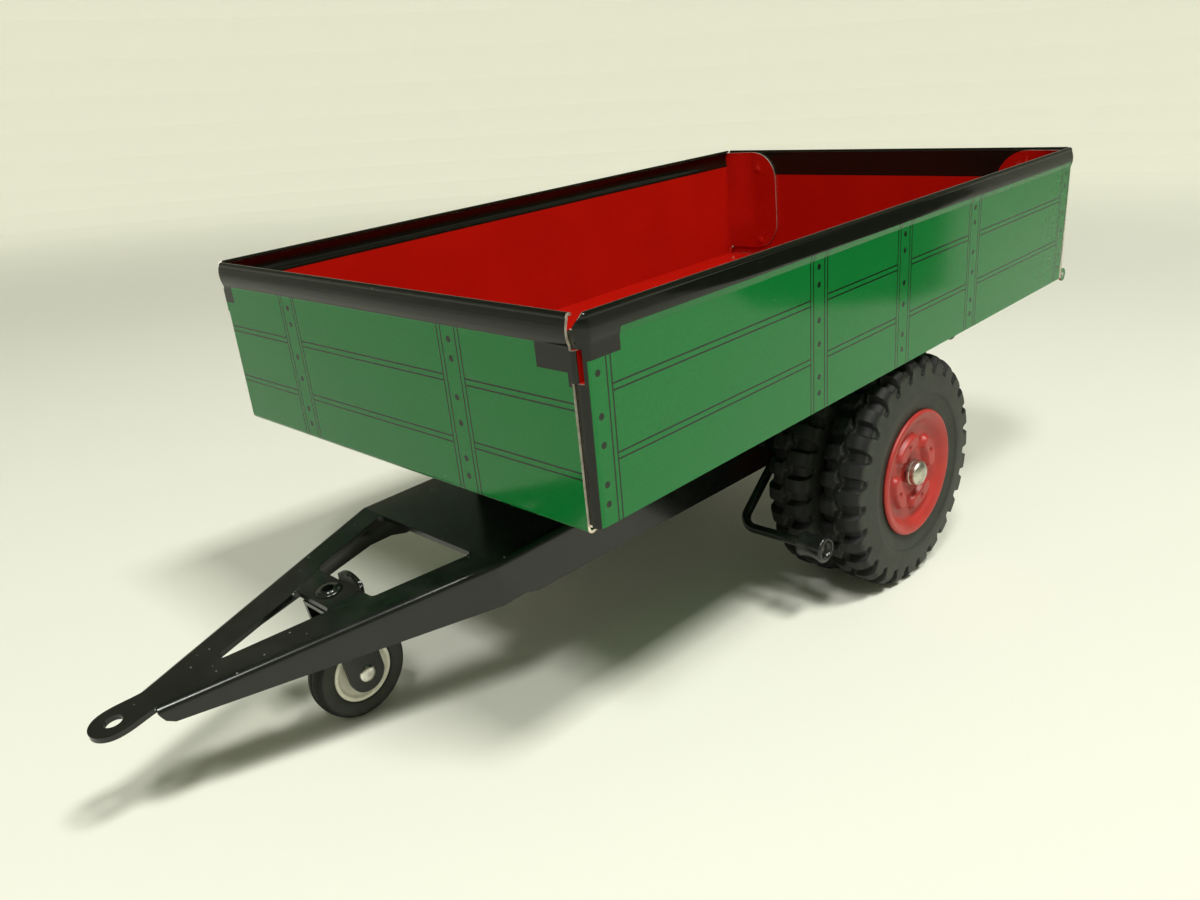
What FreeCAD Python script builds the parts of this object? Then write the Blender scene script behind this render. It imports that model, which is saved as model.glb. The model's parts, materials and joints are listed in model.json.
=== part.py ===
import FreeCAD, Part
import math
import os
from FreeCAD import Vector

# Tinplate toy farm trailer: a folded, lithographed tipping body on one stamped drawbar frame,
# with twin wheels each side, a castor jockey wheel and a bent-wire tipping lever.
#
# Level frame, used by every function below (mm):
#   origin on the middle of the wheel axle, +X forward to the drawbar eye, +Y to the left, +Z up
#   at right angles to the load floor.
# The parts are written in the parked frame: the level frame turned nose down until both the main
# and the jockey tyres touch the floor, with its origin at the centre of the drawbar eye's bore.

os.makedirs("parts", exist_ok=True)

# ---- wheels ------------------------------------------------------------------------------------
TYRE_RADIUS = 22.4
TYRE_WIDTH = 9.2
TYRE_SHOULDER = 2.4       # rounding of the tread's edge
TWIN_PITCH = 10.8         # centre to centre of the two tyres on one side
WHEEL_FACE_Y = 46.4       # outer face of the outer tyre
RIM_RADIUS = 12.2
RIM_SHEET = 0.7
LOBE_COUNT = 4            # pressed lobes round each hub
LOBE_RADIUS = 6.3
LOBE_SPAN = 46.0          # degrees
LOBE_ROUND = 1.5
LOBE_HEIGHT = 1.2
LOBE_HOLE = 0.45
SEAT_RADIUS = 11.6        # where the tyre grips the rim's barrel
AXLE_RADIUS = 1.3
RUNNING = 0.05            # radial clearance of every turning fit
SIDE_PLAY = 0.3           # gap along a pin between parts that turn past each other
AXLE_CAP_RADIUS = 2.5
AXLE_CAP_LENGTH = 2.6
SPACER_RADIUS = 2.4

# ---- drawbar frame -----------------------------------------------------------------------------
FRAME_SHEET = 0.8
FRAME_WIDTH = 37.4
FRAME_TOP = 8.5           # top of the level web, above the axle
FRAME_KNEE = 80.0         # the rails start to taper and the web starts to drop
FRAME_REAR = -57.0
WEB_REAR = -45.0          # the web is notched behind this, where the flanges rise as ears
DRAWBAR_DROP = 6.1        # degrees, slope of the web ahead of the knee
FLANGE_FRONT = 127.8      # front end of the flanges
FLANGE_FRONT_HALF = 3.4
FLANGE_BOTTOM_FRONT = 0.7
FLANGE_STEP_X = 74.0      # the flanges' bottom edge steps down behind this
FLANGE_STEP = 0.8
FLANGE_BOTTOM_REAR = -0.9
BEND_RADIUS = 1.2         # outside radius of the web-to-flange fold
AXLE_LOBE = 4.0
EYE_X = 132.6
EYE_RADIUS = 3.3
EYE_BORE = 1.3
NECK_HALF = 2.7           # half width where the plate is narrowest, between flanges and eye
TRIANGLE_TIP = 119.4
TRIANGLE_BASE = 101.5
TRIANGLE_HALF = 4.9
WINDOW_FRONT = 96.0
WINDOW_FRONT_HALF = 6.7
WINDOW_REAR = 81.1
WINDOW_REAR_HALF = 10.4
OPENING_CORNER = 0.8
BOW_SLOT = (4.0, 28.0)    # slot in the web that the lifting bow rises through, rear and front
BOW_SLOT_HALF = 13.6
HOOK_MIDDLE = 1.6         # tongue bent up from the cross plate's rear edge, left of the middle
HOOK_WIDTH = 5.8
HOOK_HEIGHT = 1.9         # above the web's top

# ---- jockey wheel ------------------------------------------------------------------------------
JOCKEY_X = 98.7           # swivel rivet
JOCKEY_DROP = 15.0        # web top to wheel axle, along the rivet
JOCKEY_TRAIL = 0.3        # wheel axle behind the rivet
JOCKEY_RADIUS = 8.1
JOCKEY_WIDTH = 4.2
JOCKEY_HUB_RADIUS = 5.2
JOCKEY_PIN_RADIUS = 0.9
FORK_SHEET = 0.7
FORK_END_RADIUS = 3.1
RIVET_RADIUS = 1.4
RIVET_BORE = 0.9
RIVET_HEAD = 2.2

# ---- tipping body ------------------------------------------------------------------------------
BODY_LENGTH = 150.0
BODY_WIDTH = 92.0         # over the side walls, just under the rim
BODY_HEIGHT = 28.2        # underside of the floor to the top of the rim
BODY_FRONT = 84.0
BODY_OVER_TYRE = 0.5      # underside of the floor above the tyres
WALL_LEAN = 0.4           # each side wall leans out by this, floor to rim
BODY_SHEET = 0.4
CORNER_RADIUS = 1.3
CORNER_RETURN = 3.2       # side wall's return behind the front panel
PANEL_GAP = 0.05          # between the front panel and the side walls' returns behind it
PANEL_REVEAL = 2.1        # the front panel's raw edges stand back by this from the side walls
RIM_HEIGHT = 4.1          # rim along every wall: bowed out a little, its top rolled over
RIM_BULGE = 0.35
RIM_ROLL = 1.05           # how far the roll reaches back from the wall's face
RIM_NOTCH = 2.0           # the corners' folds stop this far below the rim's top
LOCK_TAB_TOP = 4.6        # tab of the front panel that locks into a slot in the corner, below the rim
LOCK_TAB_HEIGHT = 4.1
LOCK_TAB_REACH = 0.75     # how far the tab stands out past the panel's raw edge
LOCK_SLOT_WIDTH = 1.65
FRONT_HEM = 2.6           # the front panel's bottom edge is folded back under the floor by this
HEM_DROP = 0.9
GUSSET_WIDTH = 16.0       # rounded flaps at the rear of the side walls
GUSSET_ROUND = 7.0
DIMPLE_RADIUS = 1.1
DIMPLE_HEIGHT = 0.35
TAILGATE_GAP = 0.15
HINGE_ROD_RADIUS = 0.6
REST_GAP = 0.15           # body rest over the frame's web
REST_REAR = 51.0
REST_LENGTH = 10.0
REST_HALF = 10.0

# ---- tipping gear ------------------------------------------------------------------------------
PIVOT_X = -52.0
PIVOT_Z = 13.5
PIVOT_RADIUS = 1.2
PIVOT_EAR = 3.4
HINGE_EAR_Y = 27.0
BRACKET_SHEET = 0.8
WIRE_RADIUS = 0.9
SHAFT_X = 12.0
SHAFT_Z = 4.6
BOW_LENGTH = 40.0
BOW_HALF = 11.0
BOW_GAP = 0.5             # bow under the floor at rest
WIRE_BEND = 3.0
LEVER_Y = 23.5
LEVER_LENGTH = 17.4
LEVER_ANGLE = -39.0       # degrees, below the horizontal, pointing forward
KNOB_RADIUS = 2.5
KNOB_LENGTH = 5.5
KNOB_END_Y = 42.3
KNOB_DISH = 1.6           # radius of the shallow dish in the knob's end

# ---- worked-out places -------------------------------------------------------------------------
FLOOR_Z = TYRE_RADIUS + BODY_OVER_TYRE
RIM_Z = FLOOR_Z + BODY_HEIGHT
BODY_REAR = BODY_FRONT - BODY_LENGTH
FLOOR_HALF = BODY_WIDTH / 2 - WALL_LEAN
LEAN = math.degrees(math.atan2(WALL_LEAN, BODY_HEIGHT))
OUTER_TYRE_Y = WHEEL_FACE_Y - TYRE_WIDTH / 2
INNER_TYRE_Y = OUTER_TYRE_Y - TWIN_PITCH
DROP_SLOPE = math.tan(math.radians(DRAWBAR_DROP))
TAPER = (FRAME_WIDTH / 2 - FLANGE_FRONT_HALF) / (FLANGE_FRONT - FRAME_KNEE)
BOW_ANGLE = math.degrees(math.asin((FLOOR_Z - BOW_GAP - WIRE_RADIUS - SHAFT_Z) / BOW_LENGTH))
HINGE_ROD_X = BODY_REAR - TAILGATE_GAP - BODY_SHEET / 2 - HINGE_ROD_RADIUS - RUNNING - BODY_SHEET / 2
HINGE_ROD_Z = FLOOR_Z + 0.5


def web_height(x):
    """Top of the frame's web at x: level behind the knee, dropping ahead of it."""
    return FRAME_TOP - max(0.0, x - FRAME_KNEE) * DROP_SLOPE


def drop_down(shape, x):
    """Tilt a shape that was made level about the web's top at x to the drawbar's slope."""
    tilted = shape.copy()
    tilted.translate(Vector(x, 0, web_height(x)))
    tilted.rotate(Vector(x, 0, web_height(x)), Vector(0, 1, 0), DRAWBAR_DROP)
    return tilted


def drawbar_point(x, back, depth):
    """The level-frame point back along the web from its top at x, and depth square under it."""
    angle = math.radians(DRAWBAR_DROP)
    return Vector(
        x - back * math.cos(angle) - depth * math.sin(angle), 0,
        web_height(x) + back * math.sin(angle) - depth * math.cos(angle))


JOCKEY_AXLE = drawbar_point(JOCKEY_X, JOCKEY_TRAIL, JOCKEY_DROP)
EYE_CENTRE = drawbar_point(EYE_X, 0, FRAME_SHEET / 2)


def stance_angle():
    """Nose-down angle that brings both tyres to the floor, in degrees."""
    span = math.hypot(JOCKEY_AXLE.x, JOCKEY_AXLE.z)
    rise = math.atan2(JOCKEY_AXLE.z, JOCKEY_AXLE.x)
    return math.degrees(rise + math.asin((TYRE_RADIUS - JOCKEY_RADIUS) / span))


def park(shape):
    """Turn a level-frame shape to the parked stance, with the drawbar eye at the origin."""
    parked = shape.copy()
    parked.rotate(Vector(0, 0, 0), Vector(0, 1, 0), stance_angle())
    eye = Part.Vertex(EYE_CENTRE)
    eye.rotate(Vector(0, 0, 0), Vector(0, 1, 0), stance_angle())
    parked.translate(eye.Point.negative())
    return parked


# ---- shape helpers -----------------------------------------------------------------------------
def side_prism(points, y_low, y_high):
    """Solid of a polygon drawn in X and Z, between two Y values."""
    corners = [Vector(x, y_low, z) for x, z in points]
    face = Part.Face(Part.makePolygon(corners + corners[:1]))
    return face.extrude(Vector(0, y_high - y_low, 0))


def plan_prism(points, z_low, z_high):
    """Solid of a polygon drawn in X and Y, between two Z values."""
    corners = [Vector(x, y, z_low) for x, y in points]
    face = Part.Face(Part.makePolygon(corners + corners[:1]))
    return face.extrude(Vector(0, 0, z_high - z_low))


def cross_rod(radius, x, z, y_low, y_high):
    """Round rod along Y."""
    return Part.makeCylinder(radius, y_high - y_low, Vector(x, y_low, z), Vector(0, 1, 0))


def box(x_low, x_high, y_low, y_high, z_low, z_high):
    return Part.makeBox(x_high - x_low, y_high - y_low, z_high - z_low, Vector(x_low, y_low, z_low))


def turned(profile):
    """Solid of revolution about the Y axis from (radius, y) points."""
    corners = [Vector(radius, y, 0) for radius, y in profile]
    face = Part.Face(Part.makePolygon(corners + corners[:1]))
    return face.revolve(Vector(0, 0, 0), Vector(0, 1, 0), 360)


def mirrored(shape):
    return shape.mirror(Vector(0, 0, 0), Vector(0, 1, 0))


def rounded_wire(points, radius):
    """Open path of straight runs joined by tangent arcs of one radius."""
    edges = []
    start = points[0]
    for before, corner, after in zip(points, points[1:], points[2:]):
        back = (before - corner).normalize()
        ahead = (after - corner).normalize()
        half = back.getAngle(ahead) / 2
        reach = radius / math.tan(half)
        first = corner + back * reach
        last = corner + ahead * reach
        middle = corner + (back + ahead).normalize() * (radius / math.sin(half) - radius)
        edges.append(Part.LineSegment(start, first).toShape())
        edges.append(Part.Arc(first, middle, last).toShape())
        start = last
    edges.append(Part.LineSegment(start, points[-1]).toShape())
    return Part.Wire(edges)


def round_pipe(path, radius):
    """Solid round bar along a path."""
    start = path.Vertexes[0].Point
    direction = path.Edges[0].tangentAt(path.Edges[0].FirstParameter)
    circle = Part.Wire(Part.makeCircle(radius, start, direction))
    return path.makePipeShell([circle], True, True)


# ---- wheels ------------------------------------------------------------------------------------
def tyre(centre_y):
    """Rubber tyre: flat tread with rounded shoulders, bulging walls, bored to the rim."""
    half = TYRE_WIDTH / 2
    profile = [
        (SEAT_RADIUS, -half + 1.0), (RIM_RADIUS + 0.1, -half + 0.2), (RIM_RADIUS + 3.0, -half),
        (TYRE_RADIUS - TYRE_SHOULDER, -half), (TYRE_RADIUS, -half + TYRE_SHOULDER * 0.7),
        (TYRE_RADIUS, half - TYRE_SHOULDER * 0.7), (TYRE_RADIUS - TYRE_SHOULDER, half),
        (RIM_RADIUS + 3.0, half), (RIM_RADIUS + 0.1, half - 0.2), (SEAT_RADIUS, half - 1.0),
    ]
    solid = turned(profile)
    solid.translate(Vector(0, centre_y, 0))
    return solid


def rim(centre_y, lobed):
    """Pressed rim: barrel under the tyre, dished disc towards +Y, bored for the axle."""
    half = TYRE_WIDTH / 2
    barrel = SEAT_RADIUS - RIM_SHEET
    bore = AXLE_RADIUS + RUNNING
    profile = [
        (bore, half - 2.6), (3.4, half - 2.6), (6.0, half - 1.9), (9.2, half - 2.6),
        (barrel, half - 2.2), (barrel, -half + 1.0), (SEAT_RADIUS, -half + 1.0),
        (SEAT_RADIUS, half - 1.0), (RIM_RADIUS, half - 0.1), (RIM_RADIUS - 0.8, half - 0.1),
        (9.6, half - 1.5), (6.0, half - 1.0), (3.4, half - 1.8), (bore, half - 1.8),
    ]
    solid = turned(profile)
    if lobed:
        lobes, holes = rim_lobes(half - 1.2)
        solid = solid.fuse(lobes).cut(holes)
    solid.translate(Vector(0, centre_y, 0))
    return solid


def rim_lobes(top):
    """Round-ended pads pressed up in a ring round the hub, and the small hole through each."""
    floor = top - LOBE_HEIGHT
    high = top - LOBE_HEIGHT / 4
    pad = Part.Face(Part.makePolygon([
        Vector(LOBE_RADIUS - LOBE_ROUND, floor, 0), Vector(LOBE_RADIUS + LOBE_ROUND, floor, 0),
        Vector(LOBE_RADIUS + LOBE_ROUND, high, 0), Vector(LOBE_RADIUS - LOBE_ROUND, high, 0),
        Vector(LOBE_RADIUS - LOBE_ROUND, floor, 0),
    ])).revolve(Vector(0, 0, 0), Vector(0, 1, 0), LOBE_SPAN)
    ends = []
    for angle in (0, LOBE_SPAN):
        end = cross_rod(LOBE_ROUND, LOBE_RADIUS, 0, floor, high)
        end.rotate(Vector(0, 0, 0), Vector(0, 1, 0), angle)
        ends.append(end)
    pad = pad.fuse(ends).removeSplitter()
    hole = cross_rod(LOBE_HOLE, LOBE_RADIUS, 0, floor - 4, top + 4)
    hole.rotate(Vector(0, 0, 0), Vector(0, 1, 0), LOBE_SPAN / 2)
    lobes = []
    holes = []
    for index in range(LOBE_COUNT):
        turn = 360.0 * index / LOBE_COUNT
        for shape, group in ((pad, lobes), (hole, holes)):
            placed = shape.copy()
            placed.rotate(Vector(0, 0, 0), Vector(0, 1, 0), turn)
            group.append(placed)
    return lobes, holes


def hub_seat(centre_y):
    """Inner and outer Y of a rim's hub."""
    return centre_y + TYRE_WIDTH / 2 - 2.6, centre_y + TYRE_WIDTH / 2 - 1.8


def axle_reach():
    """Where the axle's caps start, outside the outer hubs."""
    return hub_seat(OUTER_TYRE_Y)[1] + SIDE_PLAY


def axle():
    end = axle_reach() + AXLE_CAP_LENGTH / 2
    return cross_rod(AXLE_RADIUS, 0, 0, -end, end)


def axle_cap():
    """Domed push-on cap over the left end of the axle."""
    start = axle_reach()
    end = start + AXLE_CAP_LENGTH
    profile = [
        (0, start + AXLE_CAP_LENGTH / 2), (AXLE_RADIUS, start + AXLE_CAP_LENGTH / 2),
        (AXLE_RADIUS, start), (AXLE_CAP_RADIUS, start), (AXLE_CAP_RADIUS, end - 1.1),
        (AXLE_CAP_RADIUS - 0.7, end - 0.3), (0, end),
    ]
    return turned(profile)


def axle_spacer(y_low, y_high):
    outer = cross_rod(SPACER_RADIUS, 0, 0, y_low, y_high)
    return outer.cut(cross_rod(AXLE_RADIUS, 0, 0, y_low - 1, y_high + 1))


# ---- drawbar frame -----------------------------------------------------------------------------
def frame_block(inset):
    """The frame's outer form, or the hollow under its web when inset by the sheet."""
    half = FRAME_WIDTH / 2 - inset
    front_half = FLANGE_FRONT_HALF - inset * math.hypot(1, TAPER)
    front = FLANGE_FRONT
    rear = FRAME_REAR
    low = FLANGE_BOTTOM_REAR
    if inset:
        front_half -= 5.0 * TAPER
        front += 5.0
        rear -= 5.0
        low -= 10.0
    top = -inset
    outline = [
        (rear, -half), (FRAME_KNEE, -half), (front, -front_half),
        (front, front_half), (FRAME_KNEE, half), (rear, half),
    ]
    side = [
        (rear, FRAME_TOP + top), (FRAME_KNEE, FRAME_TOP + top), (front, web_height(front) + top),
        (front, FLANGE_BOTTOM_FRONT + 1.5), (front - 0.5, FLANGE_BOTTOM_FRONT + 0.6),
        (front - 1.6, FLANGE_BOTTOM_FRONT), (FLANGE_STEP_X + 1.5, FLANGE_BOTTOM_FRONT + 0.4),
        (FLANGE_STEP_X - 1.5, FLANGE_BOTTOM_FRONT + 0.4 - FLANGE_STEP),
        (AXLE_LOBE * 3, low), (FRAME_REAR + 12, low), (rear, low + 3),
    ]
    if inset:
        side = side[:3] + [(front, low), (rear, low)]
    return plan_prism(outline, low, FRAME_TOP + 1).common(side_prism(side, -half, half))


def folded_edges(solid):
    """Long top edges of the frame's outer form, where web and flange are folded."""
    chosen = []
    for edge in solid.Edges:
        middle = edge.valueAt((edge.FirstParameter + edge.LastParameter) / 2)
        along = abs(edge.Vertexes[0].X - edge.Vertexes[1].X)
        if along > 20 and abs(middle.z - web_height(middle.x)) < 0.1:
            chosen.append(edge)
    return chosen


def flange_lobes():
    """Rounded lobes: low ones that carry the axle, and rear ears that carry the tipping pivot."""
    outer = FRAME_WIDTH / 2
    inner = outer - FRAME_SHEET
    axle_lobe = cross_rod(AXLE_LOBE, 0, 0, inner, outer)
    ear = cross_rod(PIVOT_EAR, PIVOT_X, PIVOT_Z, inner, outer)
    stem = side_prism([
        (PIVOT_X - PIVOT_EAR, PIVOT_Z), (PIVOT_X - 4.5, FLANGE_BOTTOM_REAR + 4),
        (PIVOT_X + 7.5, FRAME_TOP - BEND_RADIUS - 0.2), (PIVOT_X + PIVOT_EAR, PIVOT_Z),
    ], inner, outer)
    return [axle_lobe, ear, stem]


def eye_plate():
    """Flat plate that leaves the flanges' front end, necks in and swells into the drawbar eye."""
    root = FLANGE_FRONT - 4 - EYE_X
    neck = FLANGE_FRONT + 0.6 - EYE_X
    swell = (neck - EYE_RADIUS * 0.3) / 2
    half = [
        (root, FLANGE_FRONT_HALF), (neck, NECK_HALF), (swell, (NECK_HALF + EYE_RADIUS) / 2),
        (-0.3 * EYE_RADIUS, 0.985 * EYE_RADIUS), (0.5 * EYE_RADIUS, 0.866 * EYE_RADIUS),
        (0.866 * EYE_RADIUS, 0.5 * EYE_RADIUS),
    ]
    outline = [Vector(x, -y, 0) for x, y in half] + [Vector(EYE_RADIUS, 0, 0)]
    outline += [Vector(x, y, 0) for x, y in reversed(half)]
    curve = Part.BSplineCurve()
    curve.interpolate(outline)
    back = Part.LineSegment(outline[-1], outline[0]).toShape()
    plate = Part.Face(Part.Wire([curve.toShape(), back])).extrude(Vector(0, 0, FRAME_SHEET))
    plate.translate(Vector(0, 0, -FRAME_SHEET))
    return drop_down(plate, EYE_X)


def frame_cutter(points):
    """Prism that cuts an opening with rounded corners through the web only."""
    cutter = plan_prism(points, FLANGE_BOTTOM_FRONT + 0.5, FRAME_TOP + 2)
    upright = []
    for edge in cutter.Edges:
        if abs(edge.Vertexes[0].Z - edge.Vertexes[1].Z) > 1:
            upright.append(edge)
    return cutter.makeFillet(OPENING_CORNER, upright)


def frame_openings():
    """Triangle and trapezium seen in the drawbar, and the hidden slot for the lifting bow."""
    triangle = frame_cutter([
        (TRIANGLE_TIP, 0), (TRIANGLE_BASE, TRIANGLE_HALF), (TRIANGLE_BASE, -TRIANGLE_HALF)])
    window = frame_cutter([
        (WINDOW_FRONT, -WINDOW_FRONT_HALF), (WINDOW_FRONT, WINDOW_FRONT_HALF),
        (WINDOW_REAR, WINDOW_REAR_HALF), (WINDOW_REAR, -WINDOW_REAR_HALF)])
    slot = frame_cutter([
        (BOW_SLOT[0], -BOW_SLOT_HALF), (BOW_SLOT[1], -BOW_SLOT_HALF),
        (BOW_SLOT[1], BOW_SLOT_HALF), (BOW_SLOT[0], BOW_SLOT_HALF)])
    return [triangle, window, slot]


def hook_tongue():
    """Small rounded tongue bent up from the rear edge of the cross plate."""
    low = HOOK_MIDDLE - HOOK_WIDTH / 2
    high = HOOK_MIDDLE + HOOK_WIDTH / 2
    top = HOOK_HEIGHT + FRAME_SHEET
    outline = Part.Wire([
        Part.LineSegment(Vector(0, high, 0), Vector(0, low, 0)).toShape(),
        Part.LineSegment(Vector(0, low, 0), Vector(0, low, top * 0.7)).toShape(),
        Part.Arc(Vector(0, low, top * 0.7), Vector(0, HOOK_MIDDLE, top), Vector(0, high, top * 0.55)).toShape(),
        Part.LineSegment(Vector(0, high, top * 0.55), Vector(0, high, 0)).toShape(),
    ])
    tongue = Part.Face(outline).extrude(Vector(FRAME_SHEET, 0, 0))
    tongue.translate(Vector(WINDOW_FRONT - FRAME_SHEET, 0, web_height(WINDOW_FRONT) - FRAME_SHEET))
    return tongue


def drawbar_frame():
    """One stamping: web with folded flanges, openings, eye, lobes, ears and hook tongue."""
    outer = frame_block(0)
    outer = outer.makeFillet(BEND_RADIUS, folded_edges(outer))
    frame = outer.cut(frame_block(FRAME_SHEET))
    half = FRAME_WIDTH / 2 - FRAME_SHEET
    notch = box(FRAME_REAR - 1, WEB_REAR, -half - BEND_RADIUS, half + BEND_RADIUS,
                FRAME_TOP - BEND_RADIUS - 0.1, FRAME_TOP + 1)
    frame = frame.cut(notch)
    frame = frame.cut(frame_openings())
    lobes = flange_lobes()
    frame = frame.fuse(lobes + [mirrored(lobe) for lobe in lobes] + [eye_plate(), hook_tongue()])
    bore = Part.makeCylinder(EYE_BORE, 6, Vector(0, 0, -3))
    rivet_hole = Part.makeCylinder(RIVET_RADIUS, 6, Vector(0, 0, -3))
    cutters = [drop_down(bore, EYE_X), drop_down(rivet_hole, JOCKEY_X)]
    reach = FRAME_WIDTH
    cutters.append(cross_rod(AXLE_RADIUS, 0, 0, -reach, reach))
    cutters.append(cross_rod(PIVOT_RADIUS, PIVOT_X, PIVOT_Z, -reach, reach))
    cutters.append(cross_rod(WIRE_RADIUS + RUNNING, SHAFT_X, SHAFT_Z, -reach, reach))
    return frame.cut(cutters).removeSplitter()


# ---- jockey wheel ------------------------------------------------------------------------------
def swivel_rivet():
    """Hollow rivet through the cross plate and the fork's crown, rolled over at both ends."""
    crown_low = -FRAME_SHEET - SIDE_PLAY / 2 - FORK_SHEET - 0.1
    shank = Part.makeCylinder(RIVET_RADIUS, 0.5 - crown_low + 0.4, Vector(0, 0, crown_low - 0.4))
    top_head = Part.makeCone(RIVET_HEAD, RIVET_HEAD - 0.5, 0.4, Vector(0, 0, 0))
    low_head = Part.makeCylinder(RIVET_HEAD, 0.4, Vector(0, 0, crown_low - 0.4))
    bore = Part.makeCylinder(RIVET_BORE, 10, Vector(0, 0, -5))
    return drop_down(shank.fuse([top_head, low_head]).cut(bore), JOCKEY_X)


def fork_outside():
    """Outer face of the fork's legs, from the middle."""
    return JOCKEY_WIDTH / 2 + SIDE_PLAY + FORK_SHEET


def jockey_fork():
    """Strip bent to an inverted U: crown under the cross plate, round-ended legs to the axle."""
    top = -FRAME_SHEET - SIDE_PLAY / 2
    outside = fork_outside()
    inside = outside - FORK_SHEET
    half = FORK_END_RADIUS
    trail = JOCKEY_TRAIL
    crown = box(-half, half, -outside, outside, top - FORK_SHEET, top)
    legs = []
    for low in (-outside, inside):
        legs.append(side_prism([
            (-half, top), (half, top), (half - trail, -JOCKEY_DROP), (-half - trail, -JOCKEY_DROP),
        ], low, low + FORK_SHEET))
        legs.append(cross_rod(half, -trail, -JOCKEY_DROP, low, low + FORK_SHEET))
    fork = crown.fuse(legs)
    fork = fork.cut(Part.makeCylinder(RIVET_RADIUS + RUNNING, 6, Vector(0, 0, -4)))
    fork = fork.cut(cross_rod(JOCKEY_PIN_RADIUS, -trail, -JOCKEY_DROP, -9, 9)).removeSplitter()
    return drop_down(fork, JOCKEY_X)


def jockey_pin():
    """Headed rivet that the jockey wheel turns on."""
    outside = fork_outside()
    pin = cross_rod(JOCKEY_PIN_RADIUS, -JOCKEY_TRAIL, -JOCKEY_DROP, -outside, outside)
    for side in (-1, 1):
        base = Vector(-JOCKEY_TRAIL, side * outside, -JOCKEY_DROP)
        pin = pin.fuse(Part.makeCone(1.4, 0.8, 0.6, base, Vector(0, side, 0)))
    return drop_down(pin, JOCKEY_X)


def jockey_hub():
    half = JOCKEY_WIDTH / 2
    bore = JOCKEY_PIN_RADIUS + RUNNING
    hub = turned([
        (bore, -half), (2.2, -half), (2.6, -half + 0.5), (JOCKEY_HUB_RADIUS - 0.8, -half + 0.5),
        (JOCKEY_HUB_RADIUS, -half + 0.2), (JOCKEY_HUB_RADIUS, half - 0.2),
        (JOCKEY_HUB_RADIUS - 0.8, half - 0.5), (2.6, half - 0.5), (2.2, half), (bore, half),
    ])
    hub.translate(JOCKEY_AXLE)
    return hub


def jockey_tyre():
    half = JOCKEY_WIDTH / 2
    ring = turned([
        (JOCKEY_HUB_RADIUS, -half + 0.2), (JOCKEY_HUB_RADIUS + 0.6, -half),
        (JOCKEY_RADIUS - 1.2, -half + 0.3), (JOCKEY_RADIUS, -half + 1.5),
        (JOCKEY_RADIUS, half - 1.5), (JOCKEY_RADIUS - 1.2, half - 0.3),
        (JOCKEY_HUB_RADIUS + 0.6, half), (JOCKEY_HUB_RADIUS, half - 0.2),
    ])
    ring.translate(JOCKEY_AXLE)
    return ring


# ---- tipping body ------------------------------------------------------------------------------
def wall_path(bulge):
    """Section of a wall, out and up: straight wall, bowed rim, roll back over to the raw edge."""
    top = BODY_HEIGHT
    foot = Vector(0, 0, top - RIM_HEIGHT)
    belly = Vector(0, bulge, top - 0.54 * RIM_HEIGHT)
    brow = Vector(0, 0, top - 0.17 * RIM_HEIGHT)
    crown = Vector(0, -0.45 * RIM_ROLL, top)
    tip = Vector(0, -RIM_ROLL, top - 0.1 * RIM_HEIGHT)
    side = Part.Arc(foot, belly, brow) if bulge else Part.LineSegment(foot, brow)
    edges = [Part.LineSegment(Vector(0, 0, 0), foot), side, Part.Arc(brow, crown, tip)]
    return Part.Wire([edge.toShape() for edge in edges])


def wall_section(bulge=RIM_BULGE):
    """The wall's section as a face one sheet thick, its outer side on wall_path."""
    return wall_path(bulge).makeOffset2D(-BODY_SHEET, 2, True, True)


def wall_strip(length, bulge=RIM_BULGE):
    """A wall with its rim, extruded along +X: outer face at y = 0, bottom edge at z = 0."""
    return wall_section(bulge).extrude(Vector(length, 0, 0))


def front_corner():
    """Front end of a side wall: bent round a small radius, then back behind the front panel.

    The bend starts at x = -CORNER_RADIUS and ends facing forward at x = 0. Its rim is clipped
    by a slanting cut, and the bend has a slot for the front panel's lock tab.
    """
    radius = CORNER_RADIUS
    centre = Vector(-radius, -radius, 0)
    section = wall_section()
    section.translate(Vector(-radius, 0, 0))
    bend = section.revolve(centre, Vector(0, 0, 1), -90)
    shoulder = BODY_HEIGHT - RIM_NOTCH
    flange = wall_strip(CORNER_RETURN)
    flange.rotate(Vector(0, 0, 0), Vector(0, 0, 1), -90)
    flange.translate(Vector(0, -radius, 0))
    flange = flange.common(box(-2, 2, -radius - CORNER_RETURN, -radius, BODY_SHEET, shoulder))
    corner = bend.fuse(flange)
    edge = Vector(-radius + 0.9, 0.2, BODY_HEIGHT + 0.2)
    clip = Part.makeBox(12, 12, 12, Vector(-6, -6, 0))
    clip.rotate(Vector(0, 0, 0), Vector(-2, -2, 0), -50)
    clip.translate(edge)
    slot_low = BODY_HEIGHT - LOCK_TAB_TOP - LOCK_TAB_HEIGHT - 0.15
    slot = box(-radius - 0.2, 2, -PANEL_REVEAL - 0.1, -PANEL_REVEAL - 0.1 + LOCK_SLOT_WIDTH,
               slot_low, slot_low + LOCK_TAB_HEIGHT + 0.3)
    return corner.cut([clip, slot])


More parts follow.
